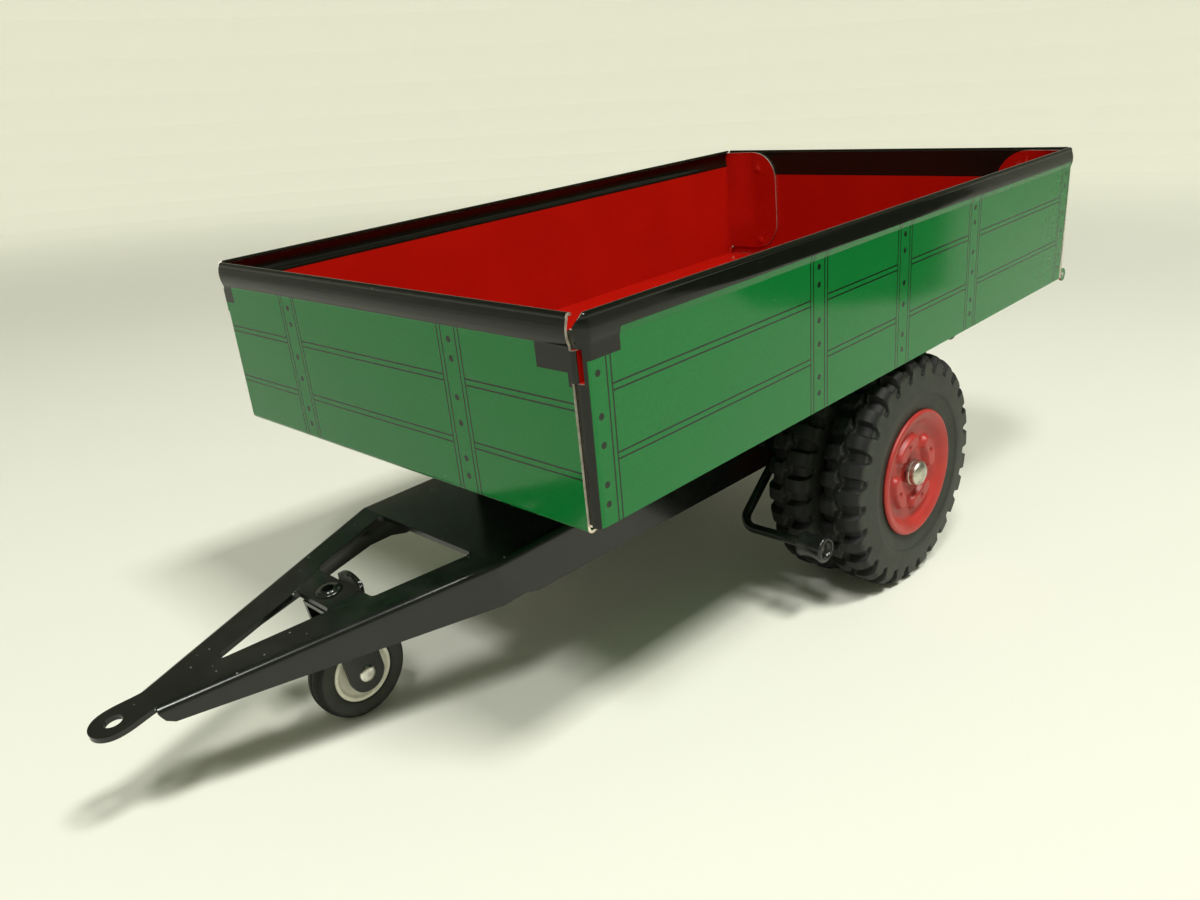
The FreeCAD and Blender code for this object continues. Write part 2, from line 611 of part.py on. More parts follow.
def gusset():
    """Rounded flap folded in at the rear of a side wall; the tailgate closes against it."""
    low = 2.2
    high = BODY_HEIGHT - 0.6
    r = GUSSET_ROUND
    w = GUSSET_WIDTH
    outline = Part.Wire([
        Part.LineSegment(Vector(0, 0, low), Vector(0, -w + r, low)).toShape(),
        Part.Arc(Vector(0, -w + r, low), Vector(0, -w + r * 0.293, low + r * 0.293),
                 Vector(0, -w, low + r)).toShape(),
        Part.LineSegment(Vector(0, -w, low + r), Vector(0, -w, high - r)).toShape(),
        Part.Arc(Vector(0, -w, high - r), Vector(0, -w + r * 0.293, high - r * 0.293),
                 Vector(0, -w + r, high)).toShape(),
        Part.LineSegment(Vector(0, -w + r, high), Vector(0, 0, high)).toShape(),
        Part.LineSegment(Vector(0, 0, high), Vector(0, 0, low)).toShape(),
    ])
    flap = Part.Face(outline).extrude(Vector(BODY_SHEET, 0, 0))
    ball = (DIMPLE_RADIUS ** 2 + DIMPLE_HEIGHT ** 2) / (2 * DIMPLE_HEIGHT)
    ahead = box(BODY_SHEET / 2, BODY_SHEET + 1, -w, 0, low, high)
    for z in (low + 2.0, high - 4.5):
        dome = Part.makeSphere(ball, Vector(BODY_SHEET + DIMPLE_HEIGHT - ball, -w + 5.6, z))
        flap = flap.fuse(dome.common(ahead))
    return flap


def left_side():
    """Left wall: strip with rim, front corner, rear gusset and the eye for the tailgate's rod."""
    front = BODY_FRONT - BODY_SHEET - PANEL_GAP
    strip = wall_strip(front - CORNER_RADIUS - BODY_REAR)
    strip.translate(Vector(BODY_REAR, 0, 0))
    corner = front_corner()
    corner.translate(Vector(front, 0, 0))
    flap = gusset()
    flap.translate(Vector(BODY_REAR, 0, 0))
    wall = strip.fuse([corner, flap])
    wall.rotate(Vector(0, 0, 0), Vector(1, 0, 0), -LEAN)
    wall.translate(Vector(0, FLOOR_HALF, FLOOR_Z))
    eye = cross_rod(1.4, HINGE_ROD_X, HINGE_ROD_Z, FLOOR_HALF - BODY_SHEET, FLOOR_HALF)
    tongue = box(HINGE_ROD_X, BODY_REAR + 1, FLOOR_HALF - BODY_SHEET, FLOOR_HALF,
                 HINGE_ROD_Z - 0.5, HINGE_ROD_Z + 1.2)
    hole = cross_rod(HINGE_ROD_RADIUS, HINGE_ROD_X, HINGE_ROD_Z, 0, BODY_WIDTH)
    return wall.fuse([eye, tongue]).cut(hole).removeSplitter()


def lock_tab():
    """Tab on the left raw edge of the front panel, bent back through the slot in the corner."""
    edge = BODY_WIDTH / 2 - PANEL_REVEAL
    reach = edge + LOCK_TAB_REACH
    radius = 0.55
    path = Part.Wire([
        Part.LineSegment(Vector(BODY_FRONT, edge - 0.5, 0), Vector(BODY_FRONT, reach - radius, 0)).toShape(),
        Part.Arc(Vector(BODY_FRONT, reach - radius, 0),
                 Vector(BODY_FRONT - radius * 0.293, reach - radius * 0.293, 0),
                 Vector(BODY_FRONT - radius, reach, 0)).toShape(),
        Part.LineSegment(Vector(BODY_FRONT - radius, reach, 0), Vector(BODY_FRONT - 1.9, reach, 0)).toShape(),
    ])
    section = path.makeOffset2D(-BODY_SHEET, 2, True, True)
    if section.BoundBox.XMax > BODY_FRONT + 0.01:
        section = path.makeOffset2D(BODY_SHEET, 2, True, True)
    tab = section.extrude(Vector(0, 0, LOCK_TAB_HEIGHT))
    tab.translate(Vector(0, 0, RIM_Z - LOCK_TAB_TOP - LOCK_TAB_HEIGHT))
    return tab


def front_hem(half):
    """Bottom edge of the front panel: rolled under, then back up to the floor's underside."""
    turn = Vector(BODY_FRONT - HEM_DROP, 0, FLOOR_Z - HEM_DROP)
    path = Part.Wire([
        Part.LineSegment(Vector(BODY_FRONT, 0, FLOOR_Z + 1), Vector(BODY_FRONT, 0, FLOOR_Z)).toShape(),
        Part.Arc(Vector(BODY_FRONT, 0, FLOOR_Z),
                 Vector(BODY_FRONT - HEM_DROP * 0.293, 0, FLOOR_Z - HEM_DROP * 0.707), turn).toShape(),
        Part.LineSegment(turn, Vector(BODY_FRONT - FRONT_HEM, 0, FLOOR_Z - BODY_SHEET * 1.1)).toShape(),
    ])
    section = path.makeOffset2D(-BODY_SHEET, 2, True, True)
    if section.BoundBox.XMax > BODY_FRONT + 0.01:
        section = path.makeOffset2D(BODY_SHEET, 2, True, True)
    hem = section.extrude(Vector(0, 2 * half, 0))
    hem.translate(Vector(0, -half, 0))
    return hem


def front_panel():
    """Front wall with its rim, lock tabs and bottom hem; its raw edges stand on the corners."""
    strip = wall_strip(BODY_WIDTH)
    strip.rotate(Vector(0, 0, 0), Vector(0, 0, 1), -90)
    strip.translate(Vector(BODY_FRONT, BODY_WIDTH / 2, FLOOR_Z))
    half = BODY_WIDTH / 2 - PANEL_REVEAL
    panel = strip.common(box(0, BODY_FRONT + 5, -half, half, FLOOR_Z, RIM_Z + 1))
    tab = lock_tab()
    return panel.fuse([tab, mirrored(tab), front_hem(half)]).removeSplitter()


def body_floor():
    half = FLOOR_HALF - BODY_SHEET
    front = BODY_FRONT - BODY_SHEET
    rear = BODY_REAR + BODY_SHEET
    corner = CORNER_RADIUS + 0.1
    return plan_prism([
        (rear, -half), (front - corner, -half), (front, corner - half), (front, half - corner),
        (front - corner, half), (rear, half),
    ], FLOOR_Z, FLOOR_Z + BODY_SHEET)


def tailgate():
    """Tail board, its top edge rolled outwards and its bottom rolled round the hinge rod."""
    half = FLOOR_HALF - BODY_SHEET - 0.3
    strip = wall_strip(2 * half, 0).mirror(Vector(0, -BODY_SHEET / 2, 0), Vector(0, 1, 0))
    strip.rotate(Vector(0, 0, 0), Vector(0, 0, 1), 90)
    strip.translate(Vector(BODY_REAR - TAILGATE_GAP - BODY_SHEET, -half, FLOOR_Z))
    face_x = BODY_REAR - TAILGATE_GAP - BODY_SHEET
    below = box(face_x - 5, face_x + 5, -half - 1, half + 1, FLOOR_Z - 2, HINGE_ROD_Z)
    knuckle = cross_rod(HINGE_ROD_RADIUS + RUNNING + BODY_SHEET, HINGE_ROD_X, HINGE_ROD_Z, -half, half)
    bore = cross_rod(HINGE_ROD_RADIUS + RUNNING, HINGE_ROD_X, HINGE_ROD_Z, -half - 1, half + 1)
    return strip.cut(below).fuse(knuckle).cut(bore).removeSplitter()


def hinge_bracket():
    """Channel under the floor whose ears hang down to the tipping pivot."""
    sheet = BRACKET_SHEET
    top = FLOOR_Z
    half = HINGE_EAR_Y + sheet / 2
    web = box(PIVOT_X - 9, PIVOT_X + 12, -half, half, top - sheet, top)
    ears = []
    for low in (-half, half - sheet):
        ears.append(side_prism([
            (PIVOT_X - 9, top), (PIVOT_X + 12, top), (PIVOT_X + 12, top - 2),
            (PIVOT_X + PIVOT_EAR, PIVOT_Z), (PIVOT_X - PIVOT_EAR, PIVOT_Z), (PIVOT_X - 9, top - 3),
        ], low, low + sheet))
        ears.append(cross_rod(PIVOT_EAR, PIVOT_X, PIVOT_Z, low, low + sheet))
    hole = cross_rod(PIVOT_RADIUS + RUNNING, PIVOT_X, PIVOT_Z, -half - 1, half + 1)
    return web.fuse(ears).cut(hole).removeSplitter()


def pivot_rod():
    """Rod through the frame's ears, headed outside the bracket's ears."""
    end = HINGE_EAR_Y + BRACKET_SHEET / 2 + SIDE_PLAY
    rod = cross_rod(PIVOT_RADIUS, PIVOT_X, PIVOT_Z, -end, end)
    for side in (-1, 1):
        head = Part.makeCylinder(2.0, 0.9, Vector(PIVOT_X, side * end, PIVOT_Z), Vector(0, side, 0))
        rod = rod.fuse(head)
    return rod


def front_rest():
    """Bent strip under the floor that sits on the frame's web when the body is down."""
    rear = REST_REAR
    front = REST_REAR + REST_LENGTH
    sheet = BRACKET_SHEET
    top = FLOOR_Z
    low = FRAME_TOP + REST_GAP
    half = REST_HALF
    web = box(rear, front, -half, half, top - sheet, top)
    legs = [box(rear, rear + sheet, -half, half, low, top), box(front - sheet, front, -half, half, low, top)]
    return web.fuse(legs).removeSplitter()


# ---- tipping lever -----------------------------------------------------------------------------
def radial(angle, length, y):
    """Point at a distance from the lever's shaft, at an angle from forward towards up."""
    turn = math.radians(angle)
    return Vector(SHAFT_X + length * math.cos(turn), y, SHAFT_Z + length * math.sin(turn))


def lever_wire():
    """One bent wire: end, shaft, lifting bow, shaft again, arm and handle."""
    points = [
        Vector(SHAFT_X, -FRAME_WIDTH / 2 - 2.2, SHAFT_Z), Vector(SHAFT_X, -BOW_HALF, SHAFT_Z),
        radial(BOW_ANGLE, BOW_LENGTH, -BOW_HALF), radial(BOW_ANGLE, BOW_LENGTH, BOW_HALF),
        Vector(SHAFT_X, BOW_HALF, SHAFT_Z), Vector(SHAFT_X, LEVER_Y, SHAFT_Z),
        radial(LEVER_ANGLE, LEVER_LENGTH, LEVER_Y),
        radial(LEVER_ANGLE, LEVER_LENGTH, KNOB_END_Y - 1.0),
    ]
    return round_pipe(rounded_wire(points, WIRE_BEND), WIRE_RADIUS)


def lever_knob():
    """Turned knob pressed on the handle's end."""
    centre = radial(LEVER_ANGLE, LEVER_LENGTH, 0)
    knob = cross_rod(KNOB_RADIUS, centre.x, centre.z, KNOB_END_Y - KNOB_LENGTH, KNOB_END_Y)
    dish = Part.makeCone(KNOB_DISH - 0.6, KNOB_DISH, 0.5,
                         Vector(centre.x, KNOB_END_Y - 0.5, centre.z), Vector(0, 1, 0))
    knob = knob.makeChamfer(0.4, [edge for edge in knob.Edges if edge.Closed and len(edge.Vertexes) == 1])
    knob = knob.cut(dish)
    return knob.cut(cross_rod(WIRE_RADIUS, centre.x, centre.z, 0, KNOB_END_Y - 1.0))


# ---- nodes -------------------------------------------------------------------------------------
def nodes():
    spacer_low = FRAME_WIDTH / 2 + SIDE_PLAY / 2
    spacer_high = hub_seat(INNER_TYRE_Y)[0] - SIDE_PLAY
    spacer = axle_spacer(spacer_low, spacer_high)
    outer_tyre, inner_tyre = tyre(OUTER_TYRE_Y), tyre(INNER_TYRE_Y)
    outer_rim, inner_rim = rim(OUTER_TYRE_Y, True), rim(INNER_TYRE_Y, False)
    side = left_side()
    return {
        "drawbar_frame": drawbar_frame(),
        "axle": axle(),
        "left_axle_cap": axle_cap(),
        "right_axle_cap": mirrored(axle_cap()),
        "left_axle_spacer": spacer,
        "right_axle_spacer": mirrored(spacer),
        "swivel_rivet": swivel_rivet(),
        "tipping_pivot": pivot_rod(),
        "jockey_fork": jockey_fork(),
        "jockey_pin": jockey_pin(),
        "jockey_hub": jockey_hub(),
        "jockey_tyre": jockey_tyre(),
        "left_outer_tyre": outer_tyre,
        "left_inner_tyre": inner_tyre,
        "left_outer_rim": outer_rim,
        "left_inner_rim": inner_rim,
        "right_outer_tyre": mirrored(outer_tyre),
        "right_inner_tyre": mirrored(inner_tyre),
        "right_outer_rim": mirrored(outer_rim),
        "right_inner_rim": mirrored(inner_rim),
        "body_floor": body_floor(),
        "left_side": side,
        "right_side": mirrored(side),
        "front_panel": front_panel(),
        "hinge_bracket": hinge_bracket(),
        "front_rest": front_rest(),
        "tailgate_rod": cross_rod(HINGE_ROD_RADIUS, HINGE_ROD_X, HINGE_ROD_Z, -FLOOR_HALF, FLOOR_HALF),
        "tailgate": tailgate(),
        "tipping_lever": lever_wire(),
        "lever_knob": lever_knob(),
    }


for name, solid in nodes().items():
    park(solid).exportStep("parts/" + name + ".step")
    print(name, solid.ShapeType, round(solid.Volume, 2), solid.isValid())
print("stance", round(stance_angle(), 3), "bow angle", round(BOW_ANGLE, 2))
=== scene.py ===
import json
import math

import bmesh
import bpy
import numpy as np
from mathutils import Euler, Matrix, Vector

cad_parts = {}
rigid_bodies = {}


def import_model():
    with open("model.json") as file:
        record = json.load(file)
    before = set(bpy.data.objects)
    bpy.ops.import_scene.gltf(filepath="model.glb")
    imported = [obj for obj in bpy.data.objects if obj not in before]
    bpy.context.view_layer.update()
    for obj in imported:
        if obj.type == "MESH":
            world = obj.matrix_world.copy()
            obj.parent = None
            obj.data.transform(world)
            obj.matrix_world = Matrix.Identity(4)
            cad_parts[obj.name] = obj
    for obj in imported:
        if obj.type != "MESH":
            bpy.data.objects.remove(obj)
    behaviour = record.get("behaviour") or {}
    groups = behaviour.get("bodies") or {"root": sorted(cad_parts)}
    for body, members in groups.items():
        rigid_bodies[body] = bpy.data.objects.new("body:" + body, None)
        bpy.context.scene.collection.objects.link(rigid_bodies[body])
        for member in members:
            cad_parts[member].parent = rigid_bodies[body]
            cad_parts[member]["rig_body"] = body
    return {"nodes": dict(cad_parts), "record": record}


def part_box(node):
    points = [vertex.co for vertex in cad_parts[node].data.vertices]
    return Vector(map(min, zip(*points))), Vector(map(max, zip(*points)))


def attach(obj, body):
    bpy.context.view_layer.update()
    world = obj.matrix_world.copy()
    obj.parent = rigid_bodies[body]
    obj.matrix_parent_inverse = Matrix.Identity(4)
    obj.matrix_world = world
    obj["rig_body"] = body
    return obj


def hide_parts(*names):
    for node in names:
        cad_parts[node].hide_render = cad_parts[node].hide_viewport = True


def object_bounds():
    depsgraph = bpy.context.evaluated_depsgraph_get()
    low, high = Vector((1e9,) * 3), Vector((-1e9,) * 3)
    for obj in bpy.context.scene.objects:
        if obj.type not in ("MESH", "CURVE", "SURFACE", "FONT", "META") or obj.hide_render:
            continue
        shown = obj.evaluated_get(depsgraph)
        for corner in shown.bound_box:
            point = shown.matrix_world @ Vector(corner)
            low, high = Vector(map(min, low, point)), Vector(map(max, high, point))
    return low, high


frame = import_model()
cad_low, cad_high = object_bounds()

# ---- the toy as it stands: level frame, camera, floor and light ---------------------------------
# The trailer stands nose down on its two wheel pairs and the jockey wheel. The level frame used
# below is square to the load floor: millimetres, origin on the middle of the axle, +X to the
# drawbar eye, +Y left, +Z up.
MM = 0.001
DRAWBAR_DROP = math.radians(6.1)                    # the drawbar's slope, and so the eye's tilt
eye_mount = next(mount for mount in frame["record"]["mounts"] if mount["name"] == "drawbar_eye")
STANCE = math.atan2(eye_mount["axis"][0], eye_mount["axis"][2]) - DRAWBAR_DROP
axle_low, axle_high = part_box("axle")
LEVEL_ORIGIN = (axle_low + axle_high) / 2
LEVEL = Matrix.Translation(LEVEL_ORIGIN) @ Matrix.Rotation(STANCE, 4, "Y") @ Matrix.Scale(MM, 4)
LEVEL_TURN = np.array(LEVEL.to_3x3(), float)


def to_row(points):
    """Level-frame points in mm, as rows, moved into the row frame in metres."""
    return np.asarray(points, float) @ LEVEL_TURN.T + np.array(LEVEL_ORIGIN)


def to_level(points):
    """Row-frame points in metres, as rows, moved into the level frame in mm."""
    return (np.asarray(points, float) - np.array(LEVEL_ORIGIN)) @ np.linalg.inv(LEVEL_TURN).T


CAMERA_PLACE = (161.7, 127.8, 78.7)                 # level frame, mm
CAMERA_TURN = Euler([math.radians(angle) for angle in (68.341, 5.3624, 133.8098)])
CAMERA_LENS = 29.84                                 # mm, on a sensor 36 mm wide
CAMERA_SENSOR = 36.0
CAMERA_NEAR = 0.005                                 # the toy is small, so the near limit is too
CAMERA_FAR = 20.0
camera_data = bpy.data.cameras.new("camera")
camera_data.lens = CAMERA_LENS
camera_data.sensor_width = CAMERA_SENSOR
camera_data.clip_start = CAMERA_NEAR
camera_data.clip_end = CAMERA_FAR
camera = bpy.data.objects.new("camera", camera_data)
camera.matrix_world = (Matrix.Translation(to_row([CAMERA_PLACE])[0])
                       @ Matrix.Rotation(STANCE, 4, "Y") @ CAMERA_TURN.to_matrix().to_4x4())
bpy.context.scene.collection.objects.link(camera)
bpy.context.scene.camera = camera
bpy.context.scene.view_settings.view_transform = "Standard"


def surface_mesh(name, grid, closed_v=False):
    """Mesh of a grid of points, shape (u, v, 3): each cell of four neighbours is one quad.

    The rows go round, so the last joins the first. closed_v does the same to the columns.
    """
    rows, columns = grid.shape[:2]
    index = np.arange(rows * columns).reshape(rows, columns)
    index = np.vstack([index, index[:1]])
    if closed_v:
        index = np.hstack([index, index[:, :1]])
    quads = np.stack([index[:-1, :-1], index[1:, :-1], index[1:, 1:], index[:-1, 1:]], -1)
    mesh = bpy.data.meshes.new(name)
    mesh.from_pydata(grid.reshape(-1, 3), [], quads.reshape(-1, 4))
    return mesh


def add_object(name, mesh, material):
    """Object at the origin with one material, in the scene."""
    thing = bpy.data.objects.new(name, mesh)
    bpy.context.scene.collection.objects.link(thing)
    mesh.materials.append(material)
    return thing


COVE_START = 0.55
COVE_RADIUS = 0.5
FLOOR_SCALE = 1.6
FLOOR_STEPS = 72


def stage_floor():
    """Floor as a grid: straight out to COVE_START, then a quarter circle up and a wall.

    The profile (reach, rise) is carried once round the middle of the toy.
    """
    bend = np.linspace(0.1, math.pi / 2, 16)
    reach = np.concatenate([np.linspace(0, COVE_START, 4),
                            COVE_START + COVE_RADIUS * np.sin(bend),
                            [COVE_START + COVE_RADIUS] * 2])
    rise = np.concatenate([np.zeros(4), COVE_RADIUS * (1 - np.cos(bend)),
                           [COVE_RADIUS + 0.5, COVE_RADIUS + 1.2]])
    turn = np.linspace(0, 2 * math.pi, FLOOR_STEPS, endpoint=False)
    middle = (cad_low + cad_high) / 2
    grid = np.empty((FLOOR_STEPS, len(reach), 3))
    grid[..., 0] = middle.x + np.cos(turn)[:, None] * reach * FLOOR_SCALE
    grid[..., 1] = middle.y + np.sin(turn)[:, None] * reach * FLOOR_SCALE
    grid[..., 2] = cad_low.z + rise * FLOOR_SCALE
    return surface_mesh("floor", grid)


def new_material(name):
    """A new material, its node tree and its Principled BSDF."""
    material = bpy.data.materials.new(name)
    material.use_nodes = True
    tree = material.node_tree
    return material, tree, tree.nodes["Principled BSDF"]


def put(tree, kind, inputs=(), **settings):
    """Adds a shader node: settings first, then each input is linked to a socket or set."""
    node = tree.nodes.new("ShaderNode" + kind)
    for key, value in settings.items():
        setattr(node, key, value)
    for key, value in (inputs.items() if isinstance(inputs, dict) else enumerate(inputs)):
        if isinstance(value, bpy.types.NodeSocket):
            tree.links.new(value, node.inputs[key])
        elif value is not None:
            node.inputs[key].default_value = value
    return node


def calc(tree, operation, *inputs, clamp=False):
    """Result of one Math node."""
    return put(tree, "Math", inputs, operation=operation, use_clamp=clamp).outputs[0]


def ramp(tree, value, low, high):
    """0 at low, 1 at high, smooth between; low may be above high."""
    return put(tree, "MapRange", (value, low, high, 0.0, 1.0),
               interpolation_type="SMOOTHSTEP").outputs[0]


def mix_colour(tree, factor, first, second):
    """Colour between first, at factor 0, and second, at factor 1."""
    return put(tree, "Mix", {0: factor, 6: first, 7: second}, data_type="RGBA").outputs[2]


FLOOR_PALE = (0.80, 0.803, 0.725, 1)
FLOOR_MIRRORED = (0.35, 0.355, 0.3, 1)
FLOOR_GLOW = (0.37, 0.37, 0.285, 1)
GLOW_REACH = (0.4, 1.1)                             # m from the drawbar eye: none to full glow
MIRRORED_RISE = (0.4, 0.8)                          # m above the eye: pale to dark in the gloss


def floor_material():
    """Matt pale card.

    Its far part glows to the camera alone, so the backdrop stays pale where the lamps don't
    reach, and its upper wall is darker in the toy's gloss alone.
    """
    material, tree, shader = new_material("pale_floor")
    shader.inputs["Roughness"].default_value = 0.55
    shader.inputs["Specular IOR Level"].default_value = 0.25
    place = put(tree, "TexCoord").outputs["Object"]
    flat = put(tree, "VectorMath", (place, (1, 1, 0)), operation="MULTIPLY").outputs[0]
    reach = put(tree, "VectorMath", (flat,), operation="LENGTH").outputs["Value"]
    rays = put(tree, "LightPath").outputs
    seen = calc(tree, "MULTIPLY", ramp(tree, reach, *GLOW_REACH), rays["Is Camera Ray"])
    glow = mix_colour(tree, seen, (0, 0, 0, 1), FLOOR_GLOW)
    tree.links.new(glow, shader.inputs["Emission Color"])
    shader.inputs["Emission Strength"].default_value = 1.0
    rise = put(tree, "SeparateXYZ", (place,)).outputs[2]
    mirrored = calc(tree, "MULTIPLY", ramp(tree, rise, *MIRRORED_RISE), rays["Is Glossy Ray"])
    tree.links.new(mix_colour(tree, mirrored, FLOOR_PALE, FLOOR_MIRRORED),
                   shader.inputs["Base Color"])
    return material


add_object("floor", stage_floor(), floor_material())

WORLD_COLOUR = (0.97, 1.0, 0.76, 1)
WORLD_STRENGTH = 0.13
world = bpy.data.worlds.new("studio")
bpy.context.scene.world = world
world.use_nodes = True
world.node_tree.nodes["Background"].inputs["Color"].default_value = WORLD_COLOUR
world.node_tree.nodes["Background"].inputs["Strength"].default_value = WORLD_STRENGTH
LAMP_AIM = (-0.09, 0, 0)


def area_lamp(name, place, size, power, colour):
    """Rectangular soft lamp at place, in the row frame in metres, facing LAMP_AIM."""
    data = bpy.data.lights.new(name, "AREA")
    data.shape = "RECTANGLE"
    data.size, data.size_y = size
    data.energy = power
    data.color = colour
    lamp = bpy.data.objects.new(name, data)
    lamp.location = place
    lamp.rotation_euler = (Vector(LAMP_AIM) - Vector(place)).to_track_quat("-Z", "Y").to_euler()
    bpy.context.scene.collection.objects.link(lamp)


area_lamp("left_lamp", (-0.13, 0.5, 1.0), (0.3, 0.17), 8.6, (1.0, 1.0, 0.93))
area_lamp("front_lamp", (0.5, 0.4, 1.05), (0.2, 0.32), 7.5, (1.0, 1.0, 0.95))

FLAG_SIDE = 130.0                                   # mm left of the toy's middle
FLAG_OUTLINE = ((-190, -16.7), (-165, -16.7), (-121, -8), (-68, 3.6),
                (-51, 14.8), (-35, 30), (-20, 75), (-194, 75))
FLAG_BLACK = (0.012, 0.013, 0.01, 1)


def dark_flag():
    """Dark card left of the trailer, seen only in its gloss: a wedge that widens upwards."""
    mesh = bpy.data.meshes.new("flag")
    mesh.from_pydata(to_row([(x, FLAG_SIDE, z) for x, z in FLAG_OUTLINE]), [],
                     [tuple(range(len(FLAG_OUTLINE)))])
    paint, _, shader = new_material("flag_black")
    shader.inputs["Base Color"].default_value = FLAG_BLACK
    card = add_object("flag", mesh, paint)
    card.visible_camera = card.visible_diffuse = False
    card.visible_shadow = card.visible_transmission = False


dark_flag()

# ---- drawbar frame: one black stamping ----------------------------------------------------------
# A single steel stamping folded along both sides, with the eye, two openings and a small tongue
# cut out of it, dipped in thin black enamel that is a little uneven and dusty on its flat top. The
# body's hinge bracket and front rest are small pressings in the same enamel.
MERGE_DISTANCE = 2e-6


def shade_smooth(mesh, smooth_angle):
    """Smooth shading over every edge gentler than smooth_angle in degrees; the rest stay crisp."""
    mesh.polygons.foreach_set("use_smooth", np.ones(len(mesh.polygons), bool))
    mesh.set_sharp_from_angle(angle=math.radians(smooth_angle))


def finished_copy(node, material, smooth_angle=32.0):
    """The node's shape with its doubles merged, smooth over gentle bends, standing for the node.

    Corners sharper than smooth_angle stay crisp, and normals follow the largest flat faces.
    """
    source = frame["nodes"][node]
    mesh = source.data.copy()
    mesh.name = node + "_skin"
    mesh.materials.clear()
    shape = bmesh.new()
    shape.from_mesh(mesh)
    bmesh.ops.remove_doubles(shape, verts=shape.verts, dist=MERGE_DISTANCE)
    shape.to_mesh(mesh)
    shape.free()
    shade_smooth(mesh, smooth_angle)
    copy = add_object(node + "_skin", mesh, material)
    flats = copy.modifiers.new("flats", "WEIGHTED_NORMAL")
    flats.keep_sharp = True
    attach(copy, source["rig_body"])
    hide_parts(node)
    return copy


def noise(tree, place, scale, detail=2.0, roughness=0.5):
    """Noise about 0.5, with scale as its spots per mm."""
    return put(tree, "TexNoise", {"Vector": place, "Scale": scale, "Detail": detail,
                                  "Roughness": roughness}).outputs["Fac"]


def level_place(tree):
    """Object coordinates turned into the level frame, in millimetres."""
    coordinates = put(tree, "TexCoord").outputs["Object"]
    return put(tree, "Mapping", (coordinates, LEVEL_ORIGIN, (0, STANCE, 0), (MM, MM, MM)),
               vector_type="TEXTURE").outputs[0]


def new_group(name, inputs, outputs):
    """Empty node group. Sockets are {name: kind}, or {name: number} for a float's default."""
    kinds = {"vector": "NodeSocketVector", "value": "NodeSocketFloat"}
    tree = bpy.data.node_groups.new(name, "ShaderNodeTree")
    for label, kind in inputs.items():
        socket = tree.interface.new_socket(label, in_out="INPUT",
                                           socket_type=kinds.get(kind, "NodeSocketFloat"))
        if kind not in kinds:
            socket.default_value = kind
    for label, kind in outputs.items():
        tree.interface.new_socket(label, in_out="OUTPUT", socket_type=kinds[kind])
    return tree, tree.nodes.new("NodeGroupInput"), tree.nodes.new("NodeGroupOutput")


def use_group(tree, group, **inputs):
    """Outputs of the group placed in the tree. An underscore in a name is a space in the label."""
    node = tree.nodes.new("ShaderNodeGroup")
    node.node_tree = group
    for key, value in inputs.items():
        label = key.replace("_", " ")
        if isinstance(value, bpy.types.NodeSocket):
            tree.links.new(value, node.inputs[label])
        else:
            node.inputs[label].default_value = value
    return node.outputs


def dust_group():
    """Dust as masks: a round speck in some cells of a Voronoi pattern, and a cloudy film.

    Spacing is a cell's size and Speck a speck's radius, in mm. Share is the share of cells with
    a speck.
    """
    tree, start, end = new_group("dust", {"Place": "vector", "Spacing": 2.2, "Speck": 0.13,
                                          "Share": 0.5},
                                 {"Specks": "value", "Film": "value"})
    cells = put(tree, "TexVoronoi", {"Vector": start.outputs["Place"],
                                     "Scale": calc(tree, "DIVIDE", 1.0, start.outputs["Spacing"])})
    chance = put(tree, "SeparateColor", (cells.outputs["Color"],))
    size = calc(tree, "MULTIPLY", start.outputs["Speck"],
                calc(tree, "DIVIDE", calc(tree, "ADD", chance.outputs[1], 0.25),
                     start.outputs["Spacing"]))
    speck = ramp(tree, calc(tree, "SUBTRACT", cells.outputs["Distance"], size), 0.01, -0.01)
    kept = calc(tree, "LESS_THAN", chance.outputs[0], start.outputs["Share"])
    tree.links.new(calc(tree, "MULTIPLY", speck, kept), end.inputs["Specks"])
    film = noise(tree, start.outputs["Place"], 0.16, 4.0, 0.6)
    tree.links.new(ramp(tree, film, 0.42, 0.72), end.inputs["Film"])
    return tree


BROAD_FLOW = 0.012


def coat_group():
    """The skin of a lacquered sheet: broad flow and a fine ripple as a height in mm, and a gloss.

    Height = BROAD_FLOW x broad noise + Ripple x fine noise; Gloss varies slowly from -1 to 1.
    """
    tree, start, end = new_group("coat", {"Place": "vector", "Ripple": 0.002, "Grain": 1.1},
                                 {"Height": "value", "Gloss": "value"})
    broad = noise(tree, start.outputs["Place"], 0.12, 1.0)
    fine = noise(tree, start.outputs["Place"], start.outputs["Grain"], 2.0)
    height = calc(tree, "MULTIPLY_ADD", fine, start.outputs["Ripple"],
                  calc(tree, "MULTIPLY", broad, BROAD_FLOW))
    tree.links.new(height, end.inputs["Height"])
    gloss = noise(tree, start.outputs["Place"], 0.35, 3.0)
    tree.links.new(calc(tree, "MULTIPLY_ADD", gloss, 2.0, -1.0), end.inputs["Gloss"])
    return tree


DUST = dust_group()
COAT = coat_group()


def add_bump(tree, shader, height):
    """Relief from a height in mm."""
    bump = put(tree, "Bump", {"Strength": 1.0, "Distance": MM, "Height": height})
    tree.links.new(bump.outputs[0], shader.inputs["Normal"])


